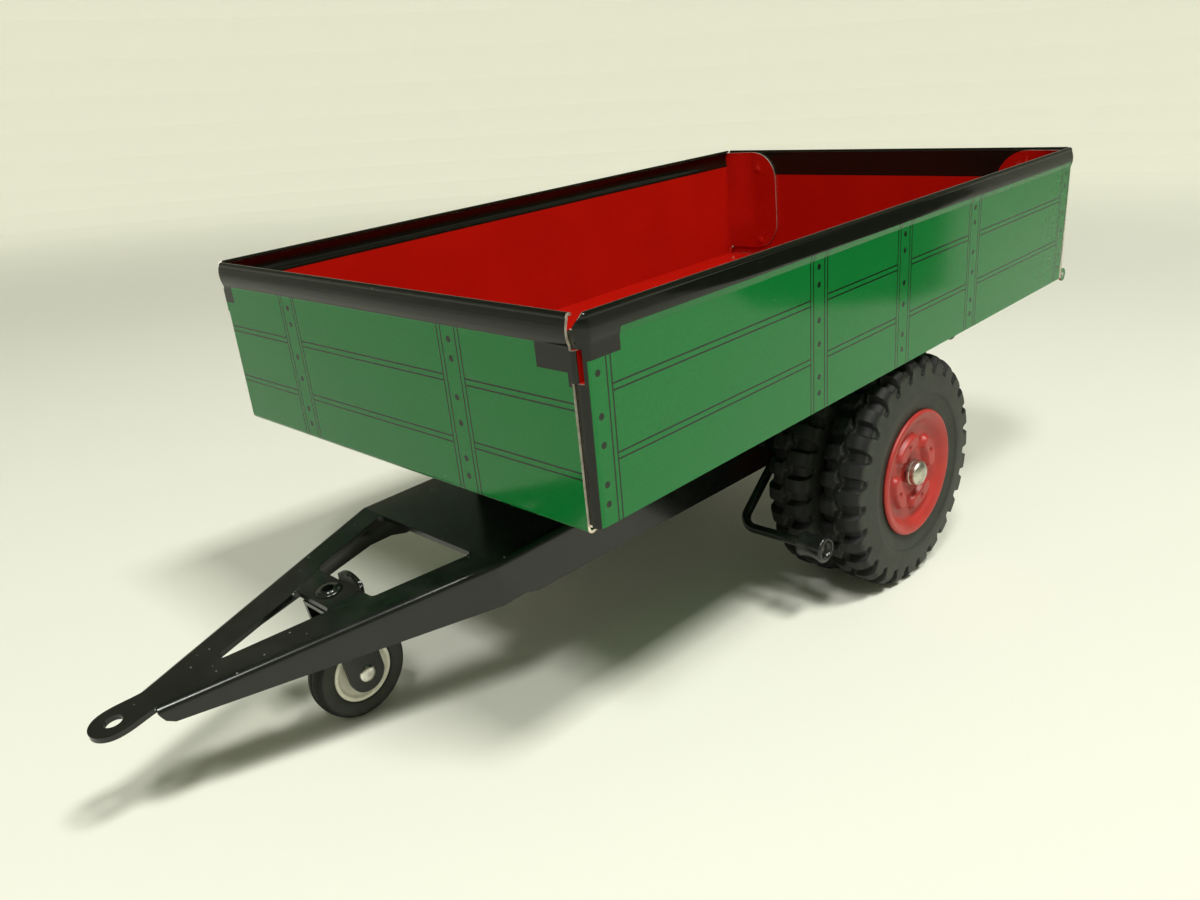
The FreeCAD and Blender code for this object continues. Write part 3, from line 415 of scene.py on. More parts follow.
def enamel_material(name, colour, dusty, roughness, ripple, dust_amount):
    """Stoved enamel: an even colour with slow changes of shade and gloss, dust specks and film.

    Dust lies only where the surface faces up. Where dusty is a light tint of the colour itself, as
    on the red rims, it also paints a soft sheen on those upper faces.
    """
    material, tree, shader = new_material(name)
    place = level_place(tree)
    coat = use_group(tree, COAT, Place=place, Ripple=ripple)
    dust = use_group(tree, DUST, Place=place, Spacing=1.5)
    shade = noise(tree, place, 0.22, 3.0)
    deep = tuple(0.8 * channel for channel in colour[:3]) + (1,)
    base = mix_colour(tree, ramp(tree, shade, 0.3, 0.7), deep, colour)
    facing_up = put(tree, "SeparateXYZ", (put(tree, "NewGeometry").outputs["Normal"],)).outputs[2]
    lying = calc(tree, "MULTIPLY", ramp(tree, facing_up, 0.4, 0.95), dust_amount)
    dust_cover = calc(tree, "MULTIPLY_ADD", dust["Film"], 0.06, dust["Specks"])
    settled = calc(tree, "MULTIPLY", lying, dust_cover, clamp=True)
    tree.links.new(mix_colour(tree, settled, base, dusty), shader.inputs["Base Color"])
    gloss = calc(tree, "MULTIPLY_ADD", coat["Gloss"], 0.04, roughness)
    tree.links.new(calc(tree, "MULTIPLY_ADD", settled, 0.3, gloss), shader.inputs["Roughness"])
    add_bump(tree, shader, coat["Height"])
    return material


BLACK = (0.006, 0.0075, 0.0058, 1)
LINT = (0.32, 0.33, 0.29, 1)
black_enamel = enamel_material("black_enamel", BLACK, LINT, 0.2, 0.003, 0.45)
for node in ("hinge_bracket", "front_rest"):
    finished_copy(node, black_enamel)


def level_points(mesh):
    """A mesh's points in the level frame in mm, as rows."""
    points = np.empty(len(mesh.vertices) * 3)
    mesh.vertices.foreach_get("co", points)
    return to_level(points.reshape(-1, 3))


WINDOW_ASIDE = (5.5, 11.0)                          # the corners' distance from the middle, mm
WINDOW_REAR = (80.5, 84.0)                          # the corners' place along X, mm
WINDOW_FRONT = (92.0, 97.0)
REAR_SPREAD = 1.21
FRONT_SPREAD = 1.18
REAR_SHIFT = 1.0


def widen_window(copy):
    """Moves the corners of the drawbar's rear opening out within the web, so the rails are slim.

    Distance from the middle is multiplied by REAR_SPREAD or FRONT_SPREAD, and the rear corners
    go back by REAR_SHIFT along the web's slope.
    """
    mesh = copy.data
    points = level_points(mesh)
    aside = (np.abs(points[:, 1]) > WINDOW_ASIDE[0]) & (np.abs(points[:, 1]) < WINDOW_ASIDE[1])
    rear = aside & (points[:, 0] > WINDOW_REAR[0]) & (points[:, 0] < WINDOW_REAR[1])
    front = aside & (points[:, 0] > WINDOW_FRONT[0]) & (points[:, 0] < WINDOW_FRONT[1])
    points[rear, 1] *= REAR_SPREAD
    points[rear, 0] -= REAR_SHIFT
    points[rear, 2] += REAR_SHIFT * math.tan(DRAWBAR_DROP)
    points[front, 1] *= FRONT_SPREAD
    mesh.vertices.foreach_set("co", to_row(points).ravel())
    mesh.update()


drawbar = finished_copy("drawbar_frame", black_enamel)
widen_window(drawbar)

# ---- axle, spacers and caps ---------------------------------------------------------------------
# A plain plated rod pressed through the frame's lobes, with a tube each side that spaces the
# wheels off the frame and a domed cap pushed on each end. All of it, like the tipping pivot and
# the tail board's rod, is bright zinc plate gone a little brown in patches.


def plated_material(name, colour, stain, roughness):
    """Bright metal: its colour drifts towards a stain, and it is finely pitted and scratched."""
    material, tree, shader = new_material(name)
    place = level_place(tree)
    shader.inputs["Metallic"].default_value = 1.0
    drift = ramp(tree, noise(tree, place, 0.9, 4.0, 0.6), 0.4, 0.75)
    tree.links.new(mix_colour(tree, drift, colour, stain), shader.inputs["Base Color"])
    scratch = noise(tree, place, 9.0, 3.0, 0.7)
    tree.links.new(calc(tree, "MULTIPLY_ADD", scratch, 0.25, roughness),
                   shader.inputs["Roughness"])
    add_bump(tree, shader, calc(tree, "MULTIPLY", scratch, 0.004))
    return material


plated_steel = plated_material("plated_steel", (0.60, 0.58, 0.50, 1), (0.34, 0.30, 0.22, 1),
                               0.24)
for node in ("axle", "left_axle_spacer", "right_axle_spacer", "tipping_pivot", "tailgate_rod"):
    finished_copy(node, plated_steel)


def turned_grid(profile, steps=96):
    """Surface of revolution: each (radius, height) of the profile is carried round the Y axis.

    x = radius x cos(angle), z = radius x sin(angle) and y = height, in level-frame mm. A profile
    that starts and ends at radius 0 closes its own ends.
    """
    profile = np.asarray(profile, float)
    angle = np.linspace(0, 2 * math.pi, steps, endpoint=False)
    grid = np.empty((steps, len(profile), 3))
    grid[..., 0] = np.cos(angle)[:, None] * profile[:, 0]
    grid[..., 1] = profile[:, 1]
    grid[..., 2] = np.sin(angle)[:, None] * profile[:, 0]
    return grid


POLE_DISTANCE = 1e-7


def solid_from_grid(name, grid, material, body, node, ring=False, smooth_angle=40.0):
    """Closed, outward-facing piece from a grid in level mm, standing for the node.

    Doubles at the poles are merged. ring says that the profile is a loop, not a line from pole
    to pole.
    """
    mesh = surface_mesh(name, to_row(grid.reshape(-1, 3)).reshape(grid.shape), ring)
    shape = bmesh.new()
    shape.from_mesh(mesh)
    bmesh.ops.remove_doubles(shape, verts=shape.verts, dist=POLE_DISTANCE)
    bmesh.ops.recalc_face_normals(shape, faces=shape.faces)
    shape.to_mesh(mesh)
    shape.free()
    shade_smooth(mesh, smooth_angle)
    piece = add_object(name, mesh, material)
    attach(piece, body)
    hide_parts(node)


def arc_points(middle, radius, start, end, count):
    """Points of an arc in the (radius, height) plane, angles in degrees from the radius axis."""
    turn = np.radians(np.linspace(start, end, count))
    return [(middle[0] + radius * math.cos(a), middle[1] + radius * math.sin(a)) for a in turn]


def level_box(node):
    """Lowest and highest corner of a CAD node in the level frame, mm."""
    points = level_points(frame["nodes"][node].data)
    return points.min(0), points.max(0)


def mirror_y(grid):
    """The same piece on the other side."""
    return grid * np.array([1.0, -1.0, 1.0])


DOME_HEIGHT = 1.3


def cap_grid():
    """Push-on axle cap: skirt with a rolled foot, then a dome of quarter-ellipse section."""
    low, high = level_box("left_axle_cap")
    radius = (high[0] - low[0]) / 2
    foot, crown = low[1], high[1]
    neck = radius * 0.96
    dome = [(neck * math.cos(a), crown - DOME_HEIGHT + DOME_HEIGHT * math.sin(a))
            for a in np.linspace(0, math.pi / 2, 14)]
    profile = [(0, foot + 0.02), (radius * 0.8, foot + 0.02), (radius, foot + 0.12),
               (radius, foot + 0.5), (neck, foot + 0.6)] + dome
    profile[-1] = (0, crown)
    return turned_grid(profile, 64)


for side, grid in (("left", cap_grid()), ("right", mirror_y(cap_grid()))):
    solid_from_grid(side + "_axle_cap_dome", grid, plated_steel, "chassis", side + "_axle_cap")

# ---- jockey wheel, its fork and swivel rivet ----------------------------------------------------
# A small pressed fork in the same black enamel swivels under the cross plate on a hollow rivet
# that is rolled over and painted with the frame. It carries a cream moulded hub with a plain
# rubber tyre on a bright headed rivet.
for node in ("swivel_rivet", "jockey_fork"):
    finished_copy(node, black_enamel)


def plastic_material(name, colour, shade, roughness):
    """Moulded plastic: faint flow marks and a slightly grubby shade, satin."""
    material, tree, shader = new_material(name)
    place = level_place(tree)
    grub = ramp(tree, noise(tree, place, 0.5, 4.0, 0.65), 0.35, 0.8)
    tree.links.new(mix_colour(tree, grub, colour, shade), shader.inputs["Base Color"])
    flow = noise(tree, place, 1.6, 2.0)
    tree.links.new(calc(tree, "MULTIPLY_ADD", flow, 0.08, roughness), shader.inputs["Roughness"])
    add_bump(tree, shader, calc(tree, "MULTIPLY", flow, 0.0015))
    return material


cream_plastic = plastic_material("cream_plastic", (0.87, 0.85, 0.72, 1),
                                 (0.72, 0.68, 0.53, 1), 0.28)
hub_low, hub_high = level_box("jockey_hub")
JOCKEY_AXLE = (hub_low + hub_high) / 2
HUB_RADIUS = (hub_high[0] - hub_low[0]) / 2
HUB_HALF = (hub_high[1] - hub_low[1]) / 2
tyre_low, tyre_high = level_box("jockey_tyre")
JOCKEY_RADIUS = (tyre_high[0] - tyre_low[0]) / 2
JOCKEY_HALF = (tyre_high[1] - tyre_low[1]) / 2


def with_mirror(right):
    """A profile's loop: its points at +Y, then the same at -Y in the other order."""
    return right + [(radius, -height) for radius, height in reversed(right)]


def hub_profile():
    """Boss round the pin, dished web, and a rounded rim under the tyre."""
    half = HUB_HALF
    right = [(0.95, half), (1.9, half), (2.2, half - 0.15), (2.5, half - 0.75),
             (HUB_RADIUS - 1.25, half - 0.75), (HUB_RADIUS - 0.95, half - 0.55)]
    right += arc_points((HUB_RADIUS - 0.45, half - 0.6), 0.45, 150, 0, 9)
    return with_mirror(right)


def small_tyre_profile():
    """Plain round-shouldered tyre with a fine groove round the middle of its flat tread."""
    half = JOCKEY_HALF
    seat = HUB_RADIUS - 0.02
    right = [(seat, half - 0.25), (seat + 0.35, half - 0.02)]
    right += arc_points((JOCKEY_RADIUS - 1.35, half - 1.3), 1.3, 90, 12, 10)
    right += [(JOCKEY_RADIUS, 0.45), (JOCKEY_RADIUS - 0.1, 0.3)]
    return with_mirror(right)


def rubber_material(name, colour, dusty, wall):
    """Old rubber: nearly black tread, greyer smooth walls where dust clings, fine pitting, matt.

    A wall is a face that looks along the axle, and wall is how much of the dusty colour it has.
    """
    material, tree, shader = new_material(name)
    place = level_place(tree)
    dust = use_group(tree, DUST, Place=place, Spacing=1.1, Speck=0.06, Share=0.3)
    across = put(tree, "SeparateXYZ", (put(tree, "NewGeometry").outputs["Normal"],)).outputs[1]
    faces_out = ramp(tree, calc(tree, "ABSOLUTE", across), 0.8, 0.97)
    cloud = ramp(tree, noise(tree, place, 0.3, 5.0, 0.65), 0.2, 0.8)
    bloom = calc(tree, "MULTIPLY", faces_out, calc(tree, "MULTIPLY_ADD", cloud, 0.35, wall))
    bloom = calc(tree, "MULTIPLY_ADD", dust["Specks"], 0.4, bloom, clamp=True)
    tree.links.new(mix_colour(tree, bloom, colour, dusty), shader.inputs["Base Color"])
    pits = noise(tree, place, 6.0, 4.0, 0.7)
    tree.links.new(calc(tree, "MULTIPLY_ADD", pits, 0.2, 0.5), shader.inputs["Roughness"])
    shader.inputs["Specular IOR Level"].default_value = 0.3
    add_bump(tree, shader, calc(tree, "MULTIPLY", pits, 0.012))
    return material


black_rubber = rubber_material("black_rubber", (0.006, 0.007, 0.006, 1),
                               (0.046, 0.051, 0.041, 1), 0.55)
for node, profile, paint, slot in (
        ("jockey_hub", hub_profile(), cream_plastic, "cream_plastic"),
        ("jockey_tyre", small_tyre_profile(), black_rubber, "black_rubber")):
    solid_from_grid(node + "_turned", turned_grid(profile) + JOCKEY_AXLE, paint, "jockey_wheel",
                    node, ring=True)


def pin_grid():
    """Headed rivet: shank, then at each end a low skirt and a head of quarter-ellipse section."""
    end = level_box("jockey_pin")[1][1]
    head = end - 0.6
    right = [(0.9, head - 0.01), (1.45, head)]
    right += [(1.4 * math.cos(a), head + 0.08 + 0.52 * math.sin(a))
              for a in np.linspace(0.05, math.pi / 2, 12)]
    right[-1] = (0, end)
    left = [(radius, -height) for radius, height in reversed(right)]
    return turned_grid(left + right, 48) + JOCKEY_AXLE * np.array([1, 0, 1])


rivet_steel = plated_material("rivet_steel", (0.72, 0.71, 0.66, 1), (0.46, 0.43, 0.36, 1), 0.05)
solid_from_grid("jockey_pin_heads", pin_grid(), rivet_steel, "castor", "jockey_pin")

# ---- twin wheels --------------------------------------------------------------------------------
# Each side has two rubber tyres on pressed red rims that turn together on the axle. The tread has
# square lugs along both shoulders, set half a step apart, and the rims are dished with a rolled
# lip; the outer rims have four pads pressed up round the hub, with a dimple in each pad.
outer_low, outer_high = level_box("left_outer_tyre")
inner_low, inner_high = level_box("left_inner_tyre")
TYRE_RADIUS = (outer_high[0] - outer_low[0]) / 2
TYRE_HALF = (outer_high[1] - outer_low[1]) / 2
rim_low, rim_high = level_box("left_outer_rim")
RIM_RADIUS = (rim_high[0] - rim_low[0]) / 2
WHEELS = {"outer": (outer_low[1] + outer_high[1]) / 2,
          "inner": (inner_low[1] + inner_high[1]) / 2}
LUGS = 27
LUG_DEPTH = 1.35
LUG_STEPS = 18                                      # grid steps from one lug to the next
NOTCH_HALF = 0.17                                   # half a notch's width, as a share of a step
SHOULDER = 2.6                                      # radius of the tyre's shoulder, mm


def smooth_step(value, low, high):
    """0 below low, 1 above high, and 3t^2 - 2t^3 between."""
    share = np.clip((value - low) / (high - low), 0, 1)
    return share * share * (3 - 2 * share)


def tyre_grid(centre_y):
    """Tyre surface over angle and a place across the section.

    The section runs from bead to bead: recess at the rim, low step, bulging wall, rounded
    shoulder, flat tread. Its radius is lowered in the notches between lugs. A notch is a V that
    is widest at the middle of the tread and closes to a point on the wall; the two shoulders'
    notches are half a step apart and meet in a zigzag groove round the middle.
    """
    half = TYRE_HALF
    wall = [(RIM_RADIUS - 0.5, half - 1.0), (RIM_RADIUS + 0.1, half - 0.85),
            (RIM_RADIUS + 0.9, half - 0.75), (RIM_RADIUS + 1.7, half - 0.6),
            (RIM_RADIUS + 2.5, half - 0.3), (RIM_RADIUS + 3.0, half - 0.22),
            (RIM_RADIUS + 3.25, half - 0.02)]
    wall += [(RIM_RADIUS + 3.25 + t * 3.6, half - 0.02 - 0.35 * t * t)
             for t in np.linspace(0.15, 1, 8)]
    shoulder = arc_points((TYRE_RADIUS - SHOULDER, half - 2.9), SHOULDER, 76, 0, 18)
    tread = [(TYRE_RADIUS, y) for y in np.linspace(half - 3.1, 0, 14)]
    right = wall + shoulder + tread
    left = [(radius, -height) for radius, height in reversed(right[:-1])]
    profile = np.array(right + left)
    steps = LUGS * LUG_STEPS
    angle = np.linspace(0, 2 * math.pi, steps, endpoint=False)
    radius = np.repeat(profile[None, :, 0], steps, 0)
    across = np.repeat(profile[None, :, 1], steps, 0)
    turn = angle[:, None] * LUGS / (2 * math.pi)
    place = turn + 0.5 * smooth_step(across, -0.2, 0.2)
    notch = np.abs((place % 1.0) - 0.5)
    wall_share = smooth_step(-radius, -TYRE_RADIUS + 0.2, -TYRE_RADIUS + 3.4)
    width = NOTCH_HALF * (1 - 0.75 * wall_share)
    open_notch = 1 - smooth_step(notch, width, width + 0.11)
    zigzag = 0.5 * (np.abs((turn % 1.0) - 0.5) * 4 - 1)
    groove = 1 - smooth_step(np.abs(across - zigzag), 0.3, 0.6)
    depth = np.maximum(open_notch * smooth_step(np.abs(across), 0.5, 0.9), 0.8 * groove)
    reach = smooth_step(radius, TYRE_RADIUS - 3.6, TYRE_RADIUS - 1.6)
    across = across * (1 - 0.10 * open_notch * smooth_step(wall_share, 0.05, 0.4) * reach)
    radius = radius - LUG_DEPTH * depth * reach
    return np.stack([np.cos(angle)[:, None] * radius, across + centre_y,
                     np.sin(angle)[:, None] * radius], -1)


PAD_RING = 6.3                                      # mm from the axle to the pads' middles
PAD_HALF = 1.6                                      # half a pad's width, mm
PAD_SPAN = math.radians(40)
PAD_TURN = math.radians(66)
PAD_HEIGHT = 1.05
DIMPLE_DEPTH = 0.9
DISC_RADIUS = 9.0                                   # mm, where the flat disc ends
RIM_STEPS = 240


def rim_grid(centre_y, padded):
    """Pressed rim over angle and a place round its closed section, front and back a sheet apart.

    The disc is raised by PAD_HEIGHT inside a rounded slot-shaped outline, PAD_HALF each side of
    a circle of PAD_RING along PAD_SPAN, four times round, and dimpled at each pad's middle.
    """
    half = TYRE_HALF
    face = [(1.45, half - 2.1), (2.9, half - 2.1), (3.3, half - 2.0), (3.8, half - 1.75),
            (4.3, half - 1.65)]
    face += [(r, half - 1.65) for r in np.linspace(4.45, 8.7, 26)]
    face += [(9.1, half - 1.6), (9.5, half - 1.4), (9.9, half - 1.0), (10.3, half - 0.55),
             (10.7, half - 0.28)]
    lip = arc_points((RIM_RADIUS - 0.55, half - 0.55), 0.55, 120, 0, 9)
    barrel = [(RIM_RADIUS - 0.6, half - 1.1), (RIM_RADIUS - 0.6, -half + 1.0),
              (RIM_RADIUS - 1.2, -half + 1.0), (RIM_RADIUS - 1.2, half - 1.5)]
    back = [(radius, height - 0.5) for radius, height in reversed(face[:-4])]
    profile = np.array(face + lip + barrel + back)
    angle = np.linspace(0, 2 * math.pi, RIM_STEPS, endpoint=False)
    radius = np.repeat(profile[None, :, 0], RIM_STEPS, 0)
    height = np.repeat(profile[None, :, 1], RIM_STEPS, 0)
    turn = (angle[:, None] - PAD_TURN + math.pi / 4) % (math.pi / 2) - math.pi / 4
    along = np.maximum(np.abs(turn) - PAD_SPAN / 2, 0) * PAD_RING
    gap = np.hypot(along, radius - PAD_RING)
    pad = 1 - smooth_step(gap, PAD_HALF - 0.55, PAD_HALF + 0.1)
    dimple = 1 - smooth_step(np.hypot(turn * PAD_RING, radius - PAD_RING), 0.25, 0.6)
    if padded:
        pressed = PAD_HEIGHT * pad - DIMPLE_DEPTH * dimple
        height = height + np.where(radius < DISC_RADIUS, pressed, 0)
    return np.stack([np.cos(angle)[:, None] * radius, height + centre_y,
                     np.sin(angle)[:, None] * radius], -1)


# The rims' dusty colour is a light red, so their dust on upward faces is partly a painted sheen.
red_enamel = enamel_material("red_enamel", (0.42, 0.028, 0.021, 1), (0.45, 0.2, 0.17, 1),
                             0.42, 0.004, 0.4)
for side in ("left", "right"):
    for row, centre_y in WHEELS.items():
        for part, grid, paint, slot in (
                ("tyre", tyre_grid(centre_y), black_rubber, "black_rubber"),
                ("rim", rim_grid(centre_y, row == "outer"), red_enamel, "red_enamel")):
            node = side + "_" + row + "_" + part
            grid = mirror_y(grid) if side == "right" else grid
            solid_from_grid(node + "_moulded", grid, paint, side + "_wheels", node,
                            ring=True, smooth_angle=50.0)

# ---- tipping body: printed sheets ---------------------------------------------------------------
# The body is folded from thin tinplate printed flat before it was bent: green boards with black
# seams, rivet strips and a black border outside, red inside. The print is under a glossy varnish,
# and every cut edge shows bare bright tin.
RIM_TOP = float(level_box("left_side")[1][2])
FLOOR_LOW = level_box("body_floor")[0]
BODY_REAR = FLOOR_LOW[0] - 0.4
STRIP_LINES = (1.55, 2.35)                          # mm from a strip's middle
SEAM_HALF = 0.45                                    # mm from a seam's middle to its lines
DOT_HEIGHTS = (-6.0, -8.75, -14.35, -18.15, -23.5, -26.2)
DOT_RADIUS = 0.47
LINE_HALF = 0.125                                   # half a printed line's width
INK_SOFT = 0.05                                     # half the width of the ink's soft edge


def distance(tree, value, places):
    """Distance from a value to the nearest of the places, each a number or a socket."""
    nearest = None
    for place in places:
        off = calc(tree, "ABSOLUTE", calc(tree, "SUBTRACT", value, place))
        nearest = off if nearest is None else calc(tree, "MINIMUM", nearest, off)
    return nearest


def board_group():
    """Printed boards as an ink mask, in mm.

    Across is the distance from the middle of the nearest rivet strip, and Height is below the
    rim. A strip has a line each side at each of STRIP_LINES and dots at DOT_HEIGHTS. Two seams,
    each a pair of lines, run between the strips. The ink is 1 within LINE_HALF of a line's
    middle or DOT_RADIUS of a dot's.
    """
    tree, start, end = new_group("boards", {"Across": "value", "Height": "value",
                                            "Upper Seam": "value", "Lower Seam": "value",
                                            "Dot Shift": "value"}, {"Ink": "value"})
    across = calc(tree, "ABSOLUTE", start.outputs["Across"])
    height = start.outputs["Height"]
    line = (LINE_HALF + INK_SOFT, LINE_HALF - INK_SOFT)
    strip_ink = ramp(tree, distance(tree, across, STRIP_LINES), *line)
    from_seam = distance(tree, height, (start.outputs["Upper Seam"], start.outputs["Lower Seam"]))
    seam_ink = calc(tree, "MULTIPLY", ramp(tree, distance(tree, from_seam, (SEAM_HALF,)), *line),
                    calc(tree, "GREATER_THAN", across, STRIP_LINES[1]))
    shifted = calc(tree, "SUBTRACT", height, start.outputs["Dot Shift"])
    from_dot = distance(tree, shifted, DOT_HEIGHTS)
    reach = calc(tree, "SQRT", calc(tree, "ADD", calc(tree, "MULTIPLY", across, across),
                                    calc(tree, "MULTIPLY", from_dot, from_dot)))
    dot_ink = ramp(tree, reach, DOT_RADIUS + INK_SOFT, DOT_RADIUS - INK_SOFT)
    ink = calc(tree, "MAXIMUM", calc(tree, "MAXIMUM", strip_ink, seam_ink), dot_ink)
    tree.links.new(ink, end.inputs["Ink"])
    return tree


BOARDS = board_group()
GREEN = (0.001, 0.145, 0.024, 1)
GREEN_WORN = (0.003, 0.16, 0.031, 1)
INK = (0.005, 0.011, 0.005, 1)
BORDER = (0.0045, 0.006, 0.0035, 1)
RED = (0.42, 0.007, 0.003, 1)
RED_DEEP = (0.385, 0.006, 0.0026, 1)
PRINT_DUST = (0.35, 0.38, 0.3, 1)
BORDER_SOFT = 0.04
VARNISH_ROUGHNESS = 0.11
VARNISH_SPECULAR = 0.34


def varnish(tree, shader, place, colour):
    """The finish over every print: glossy, with a fine ripple and a few specks of dust."""
    coat = use_group(tree, COAT, Place=place, Ripple=0.0016, Grain=0.45)
    dust = use_group(tree, DUST, Place=place, Spacing=4.0, Speck=0.1, Share=0.25)
    specks = calc(tree, "MULTIPLY", dust["Specks"], 0.5)
    tree.links.new(mix_colour(tree, specks, colour, PRINT_DUST), shader.inputs["Base Color"])
    tree.links.new(calc(tree, "MULTIPLY_ADD", coat["Gloss"], 0.03, VARNISH_ROUGHNESS),
                   shader.inputs["Roughness"])
    shader.inputs["Specular IOR Level"].default_value = VARNISH_SPECULAR
    add_bump(tree, shader, coat["Height"])


def board_print(name, along, strips, seams, dot_shift, band, patches):
    """Outside print. along is 0 for X or 1 for Y, and strips are the rivet strips' middles.

    The black border runs above the height band, and also covers each of patches, (low, high,
    height), between low and high, down to height.
    """
    material, tree, shader = new_material(name)
    place = level_place(tree)
    split = put(tree, "SeparateXYZ", (place,)).outputs
    height = calc(tree, "SUBTRACT", split[2], RIM_TOP)
    ink = use_group(tree, BOARDS, Across=distance(tree, split[along], strips), Height=height,
                    Upper_Seam=seams[0], Lower_Seam=seams[1], Dot_Shift=dot_shift)["Ink"]
    border = ramp(tree, height, band - BORDER_SOFT, band + BORDER_SOFT)
    for low, high, depth in patches:
        inside = calc(tree, "MULTIPLY", calc(tree, "GREATER_THAN", split[along], low),
                      calc(tree, "LESS_THAN", split[along], high))
        inside = calc(tree, "MULTIPLY", inside, calc(tree, "GREATER_THAN", height, depth))
        border = calc(tree, "MAXIMUM", border, inside)
    grain = noise(tree, place, 2.5, 3.0, 0.7)
    paint = mix_colour(tree, ramp(tree, grain, 0.3, 0.7), GREEN, GREEN_WORN)
    paint = mix_colour(tree, calc(tree, "MULTIPLY", ink, 0.97), paint, INK)
    varnish(tree, shader, place, mix_colour(tree, border, paint, BORDER))
    return material


def plain_print(name, colour, deep, band=None):
    """Plain print: one colour with a faint cloudiness, and a black border above band if given."""
    material, tree, shader = new_material(name)
    place = level_place(tree)
    cloud = noise(tree, place, 0.07, 2.0)
    paint = mix_colour(tree, ramp(tree, cloud, 0.3, 0.7), colour, deep)
    if band is not None:
        height = calc(tree, "SUBTRACT", put(tree, "SeparateXYZ", (place,)).outputs[2], RIM_TOP)
        border = ramp(tree, height, band - INK_SOFT, band + INK_SOFT)
        paint = mix_colour(tree, border, paint, BORDER)
    varnish(tree, shader, place, paint)
    return material


bare_tin = plated_material("bare_tin_edge", (0.9, 0.84, 0.74, 1), (0.6, 0.5, 0.38, 1), 0.42)
SIDE_SEAMS = (-10.25, -19.45)
END_SEAMS = (-11.75, -21.0)
red_inside = plain_print("red_inside", RED, RED_DEEP, -4.2)
red_floor = plain_print("red_floor", RED, RED_DEEP)
red_flap = plain_print("red_flap", RED, RED_DEEP)
red_tail = plain_print("red_tail", RED, RED_DEEP, -6.3)
green_under = plain_print("green_under", GREEN, GREEN_WORN)
side_print = board_print("side_boards", 0, (81.5, 32.8, 6.2, -20.3, -63.6), SIDE_SEAMS, 0.95,
                         -3.0, ((77.2, 90.0, -6.0), (82.95, 90.0, -40.0)))
front_print = board_print("front_boards", 1, (20.3, -22.4), END_SEAMS, 0.0, -4.1,
                          ((37.8, 60.0, -7.4), (-60.0, -41.2, -7.0), (43.3, 60.0, -9.2)))
tail_print = board_print("tail_boards", 1, (21.4, -21.4), END_SEAMS, 0.0, -4.1,
                         ((38.5, 60.0, -7.2), (-60.0, -38.5, -7.2)))


RAY_START = 0.02                                    # mm, past the face that a ray starts on


def depth_behind(middles, normals, corners):
    """How thick the solid is behind each face: the nearest hit of a ray into it, in mm.

    Every ray meets every triangle at once: with edges e1 and e2 and ray direction d, the usual
    determinants give the place inside the triangle and the distance along the ray.
    """
    first = corners[None, :, 0]
    edge_one = corners[None, :, 1] - first
    edge_two = corners[None, :, 2] - first
    ray = -normals[:, None, :]
    cross = np.cross(ray, edge_two)
    scale = np.einsum("ijk,ijk->ij", np.broadcast_to(edge_one, cross.shape), cross)
    scale = np.where(np.abs(scale) < 1e-12, np.nan, scale)
    away = middles[:, None, :] - first
    u = np.einsum("ijk,ijk->ij", away, cross) / scale
    turned = np.cross(away, edge_one)
    v = np.einsum("ijk,ijk->ij", np.broadcast_to(ray, turned.shape), turned) / scale
    reach = np.einsum("ijk,ijk->ij", np.broadcast_to(edge_two, turned.shape), turned) / scale
    with np.errstate(invalid="ignore"):
        hit = (u > -1e-6) & (v > -1e-6) & (u + v < 1 + 1e-6) & (reach > RAY_START)
    return np.where(hit, reach, np.inf).min(1)


OUTSIDE, INSIDE, EDGE, FLAP = range(4)
SHEET_LIMIT = 1.0                                   # mm: a cut edge has more metal behind it


def printed_sheet(node, outside, inside, outward, folds=None, flap=None):
    """The node's copy in zones: the outside print, the inside print and bare cut edges.

    A face with more than SHEET_LIMIT of metal behind it is a cut edge. The rest is outside where
    its normal leans towards outward. folds(middles, normals, zone) may correct that, and may
    use a fourth zone, printed with flap.
    """
    copy = finished_copy(node, outside)
    mesh = copy.data
    mesh.materials.append(inside)
    mesh.materials.append(bare_tin)
    if flap is not None:
        mesh.materials.append(flap)
    indices = np.empty(len(mesh.polygons) * 3, int)
    mesh.polygons.foreach_get("vertices", indices)
    corners = level_points(mesh)[indices.reshape(-1, 3)]
    middles = corners.mean(1)
    normals = np.cross(corners[:, 1] - corners[:, 0], corners[:, 2] - corners[:, 0])
    normals /= np.maximum(np.linalg.norm(normals, axis=1, keepdims=True), 1e-12)
    zone = np.where(normals @ np.array(outward) > 0, OUTSIDE, INSIDE)
    if folds is not None:
        zone = folds(middles, normals, zone)
    zone = np.where(depth_behind(middles, normals, corners) > SHEET_LIMIT, EDGE, zone)
    mesh.polygons.foreach_set("material_index", zone.astype(np.int32))


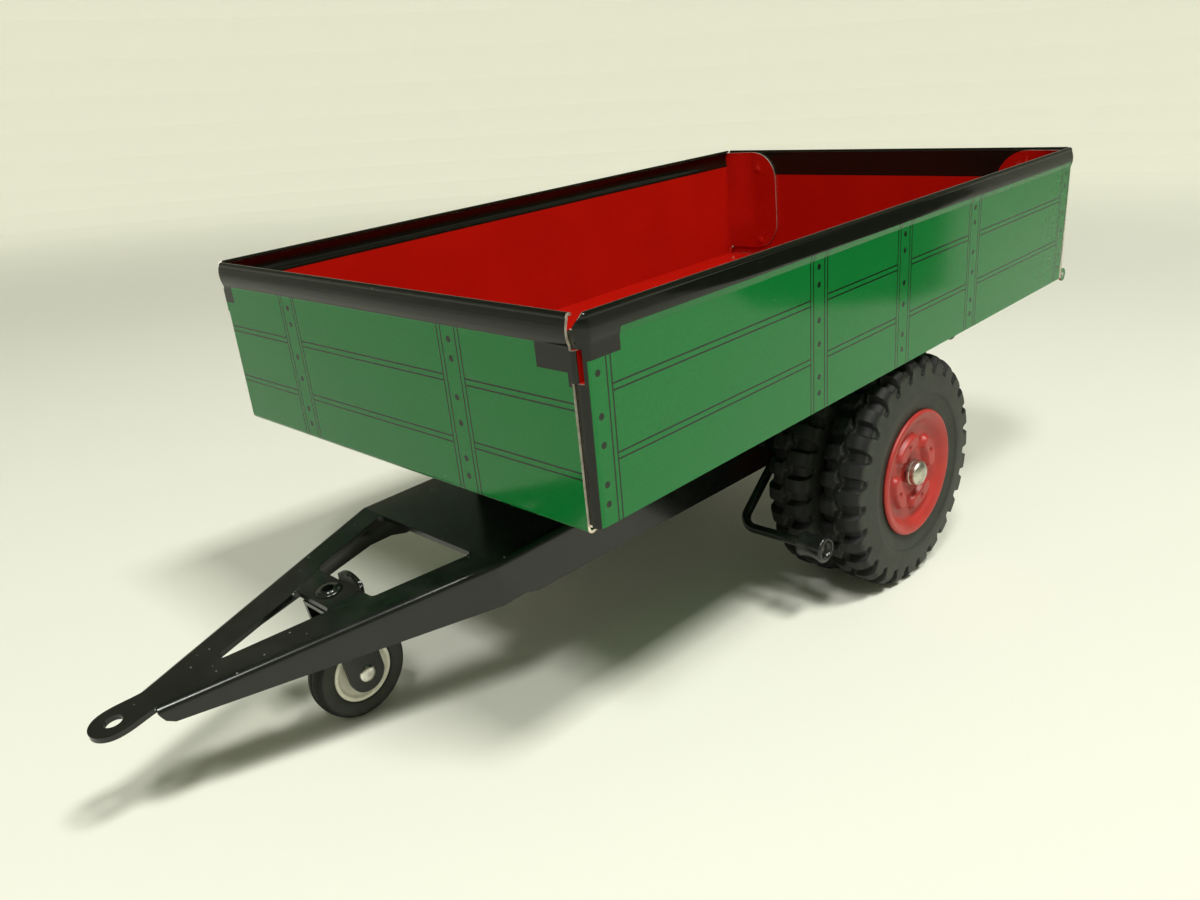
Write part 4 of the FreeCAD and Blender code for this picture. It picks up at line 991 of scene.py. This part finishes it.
def rear_flap(middles, normals, zone):
    """The flap folded in behind the load: green outside at the rear, plain red inside."""
    on_flap = (middles[:, 0] < BODY_REAR + 0.9) & (np.abs(normals[:, 0]) > 0.5)
    return np.where(on_flap, np.where(normals[:, 0] < 0, OUTSIDE, FLAP), zone)


def front_folds(middles, normals, zone):
    """The lock tabs and the hem below the floor show the outside print all round."""
    low = middles[:, 2] < FLOOR_LOW[2] - 0.02
    return np.where(low, OUTSIDE, zone)


printed_sheet("left_side", side_print, red_inside, (0.35, 1.0, 0.35), rear_flap, red_flap)
printed_sheet("right_side", side_print, red_inside, (0.35, -1.0, 0.35), rear_flap, red_flap)
printed_sheet("front_panel", front_print, red_inside, (1.0, 0.0, 0.35), front_folds)
printed_sheet("tailgate", tail_print, red_tail, (-1.0, 0.0, 0.35))
printed_sheet("body_floor", green_under, red_floor, (0.0, 0.0, -1.0))

# ---- tipping lever ------------------------------------------------------------------------------
# One steel wire bent cold into a cranked shaft, a lifting bow and an arm, painted black with the
# frame, and a small black moulded knob pushed on its end.
finished_copy("tipping_lever", black_enamel, smooth_angle=50.0)
black_plastic = plastic_material("black_plastic", (0.007, 0.008, 0.0075, 1),
                                 (0.013, 0.014, 0.012, 1), 0.2)
knob_low, knob_high = level_box("lever_knob")


def knob_grid():
    """Turned knob: waisted barrel, rounded rim, dished end with a raised middle."""
    radius = (knob_high[0] - knob_low[0]) / 2
    back, end = knob_low[1], knob_high[1]
    profile = [(0, back), (radius - 1.0, back)]
    profile += arc_points((radius - 0.8, back + 0.6), 0.6, -90, 0, 8)
    profile += [(radius - 0.42, back + 1.4), (radius - 0.5, (back + end) / 2),
                (radius - 0.3, end - 1.6)]
    profile += arc_points((radius - 0.55, end - 0.55), 0.55, 0, 125, 12)
    profile += [(0.62 * radius, end - 0.5), (0.45 * radius, end - 0.85),
                (0.2 * radius, end - 0.8), (0, end - 0.72)]
    middle = (knob_low + knob_high) / 2 * np.array([1, 0, 1])
    return turned_grid(profile, 72) + middle


solid_from_grid("lever_knob_turned", knob_grid(), black_plastic, "lever", "lever_knob")
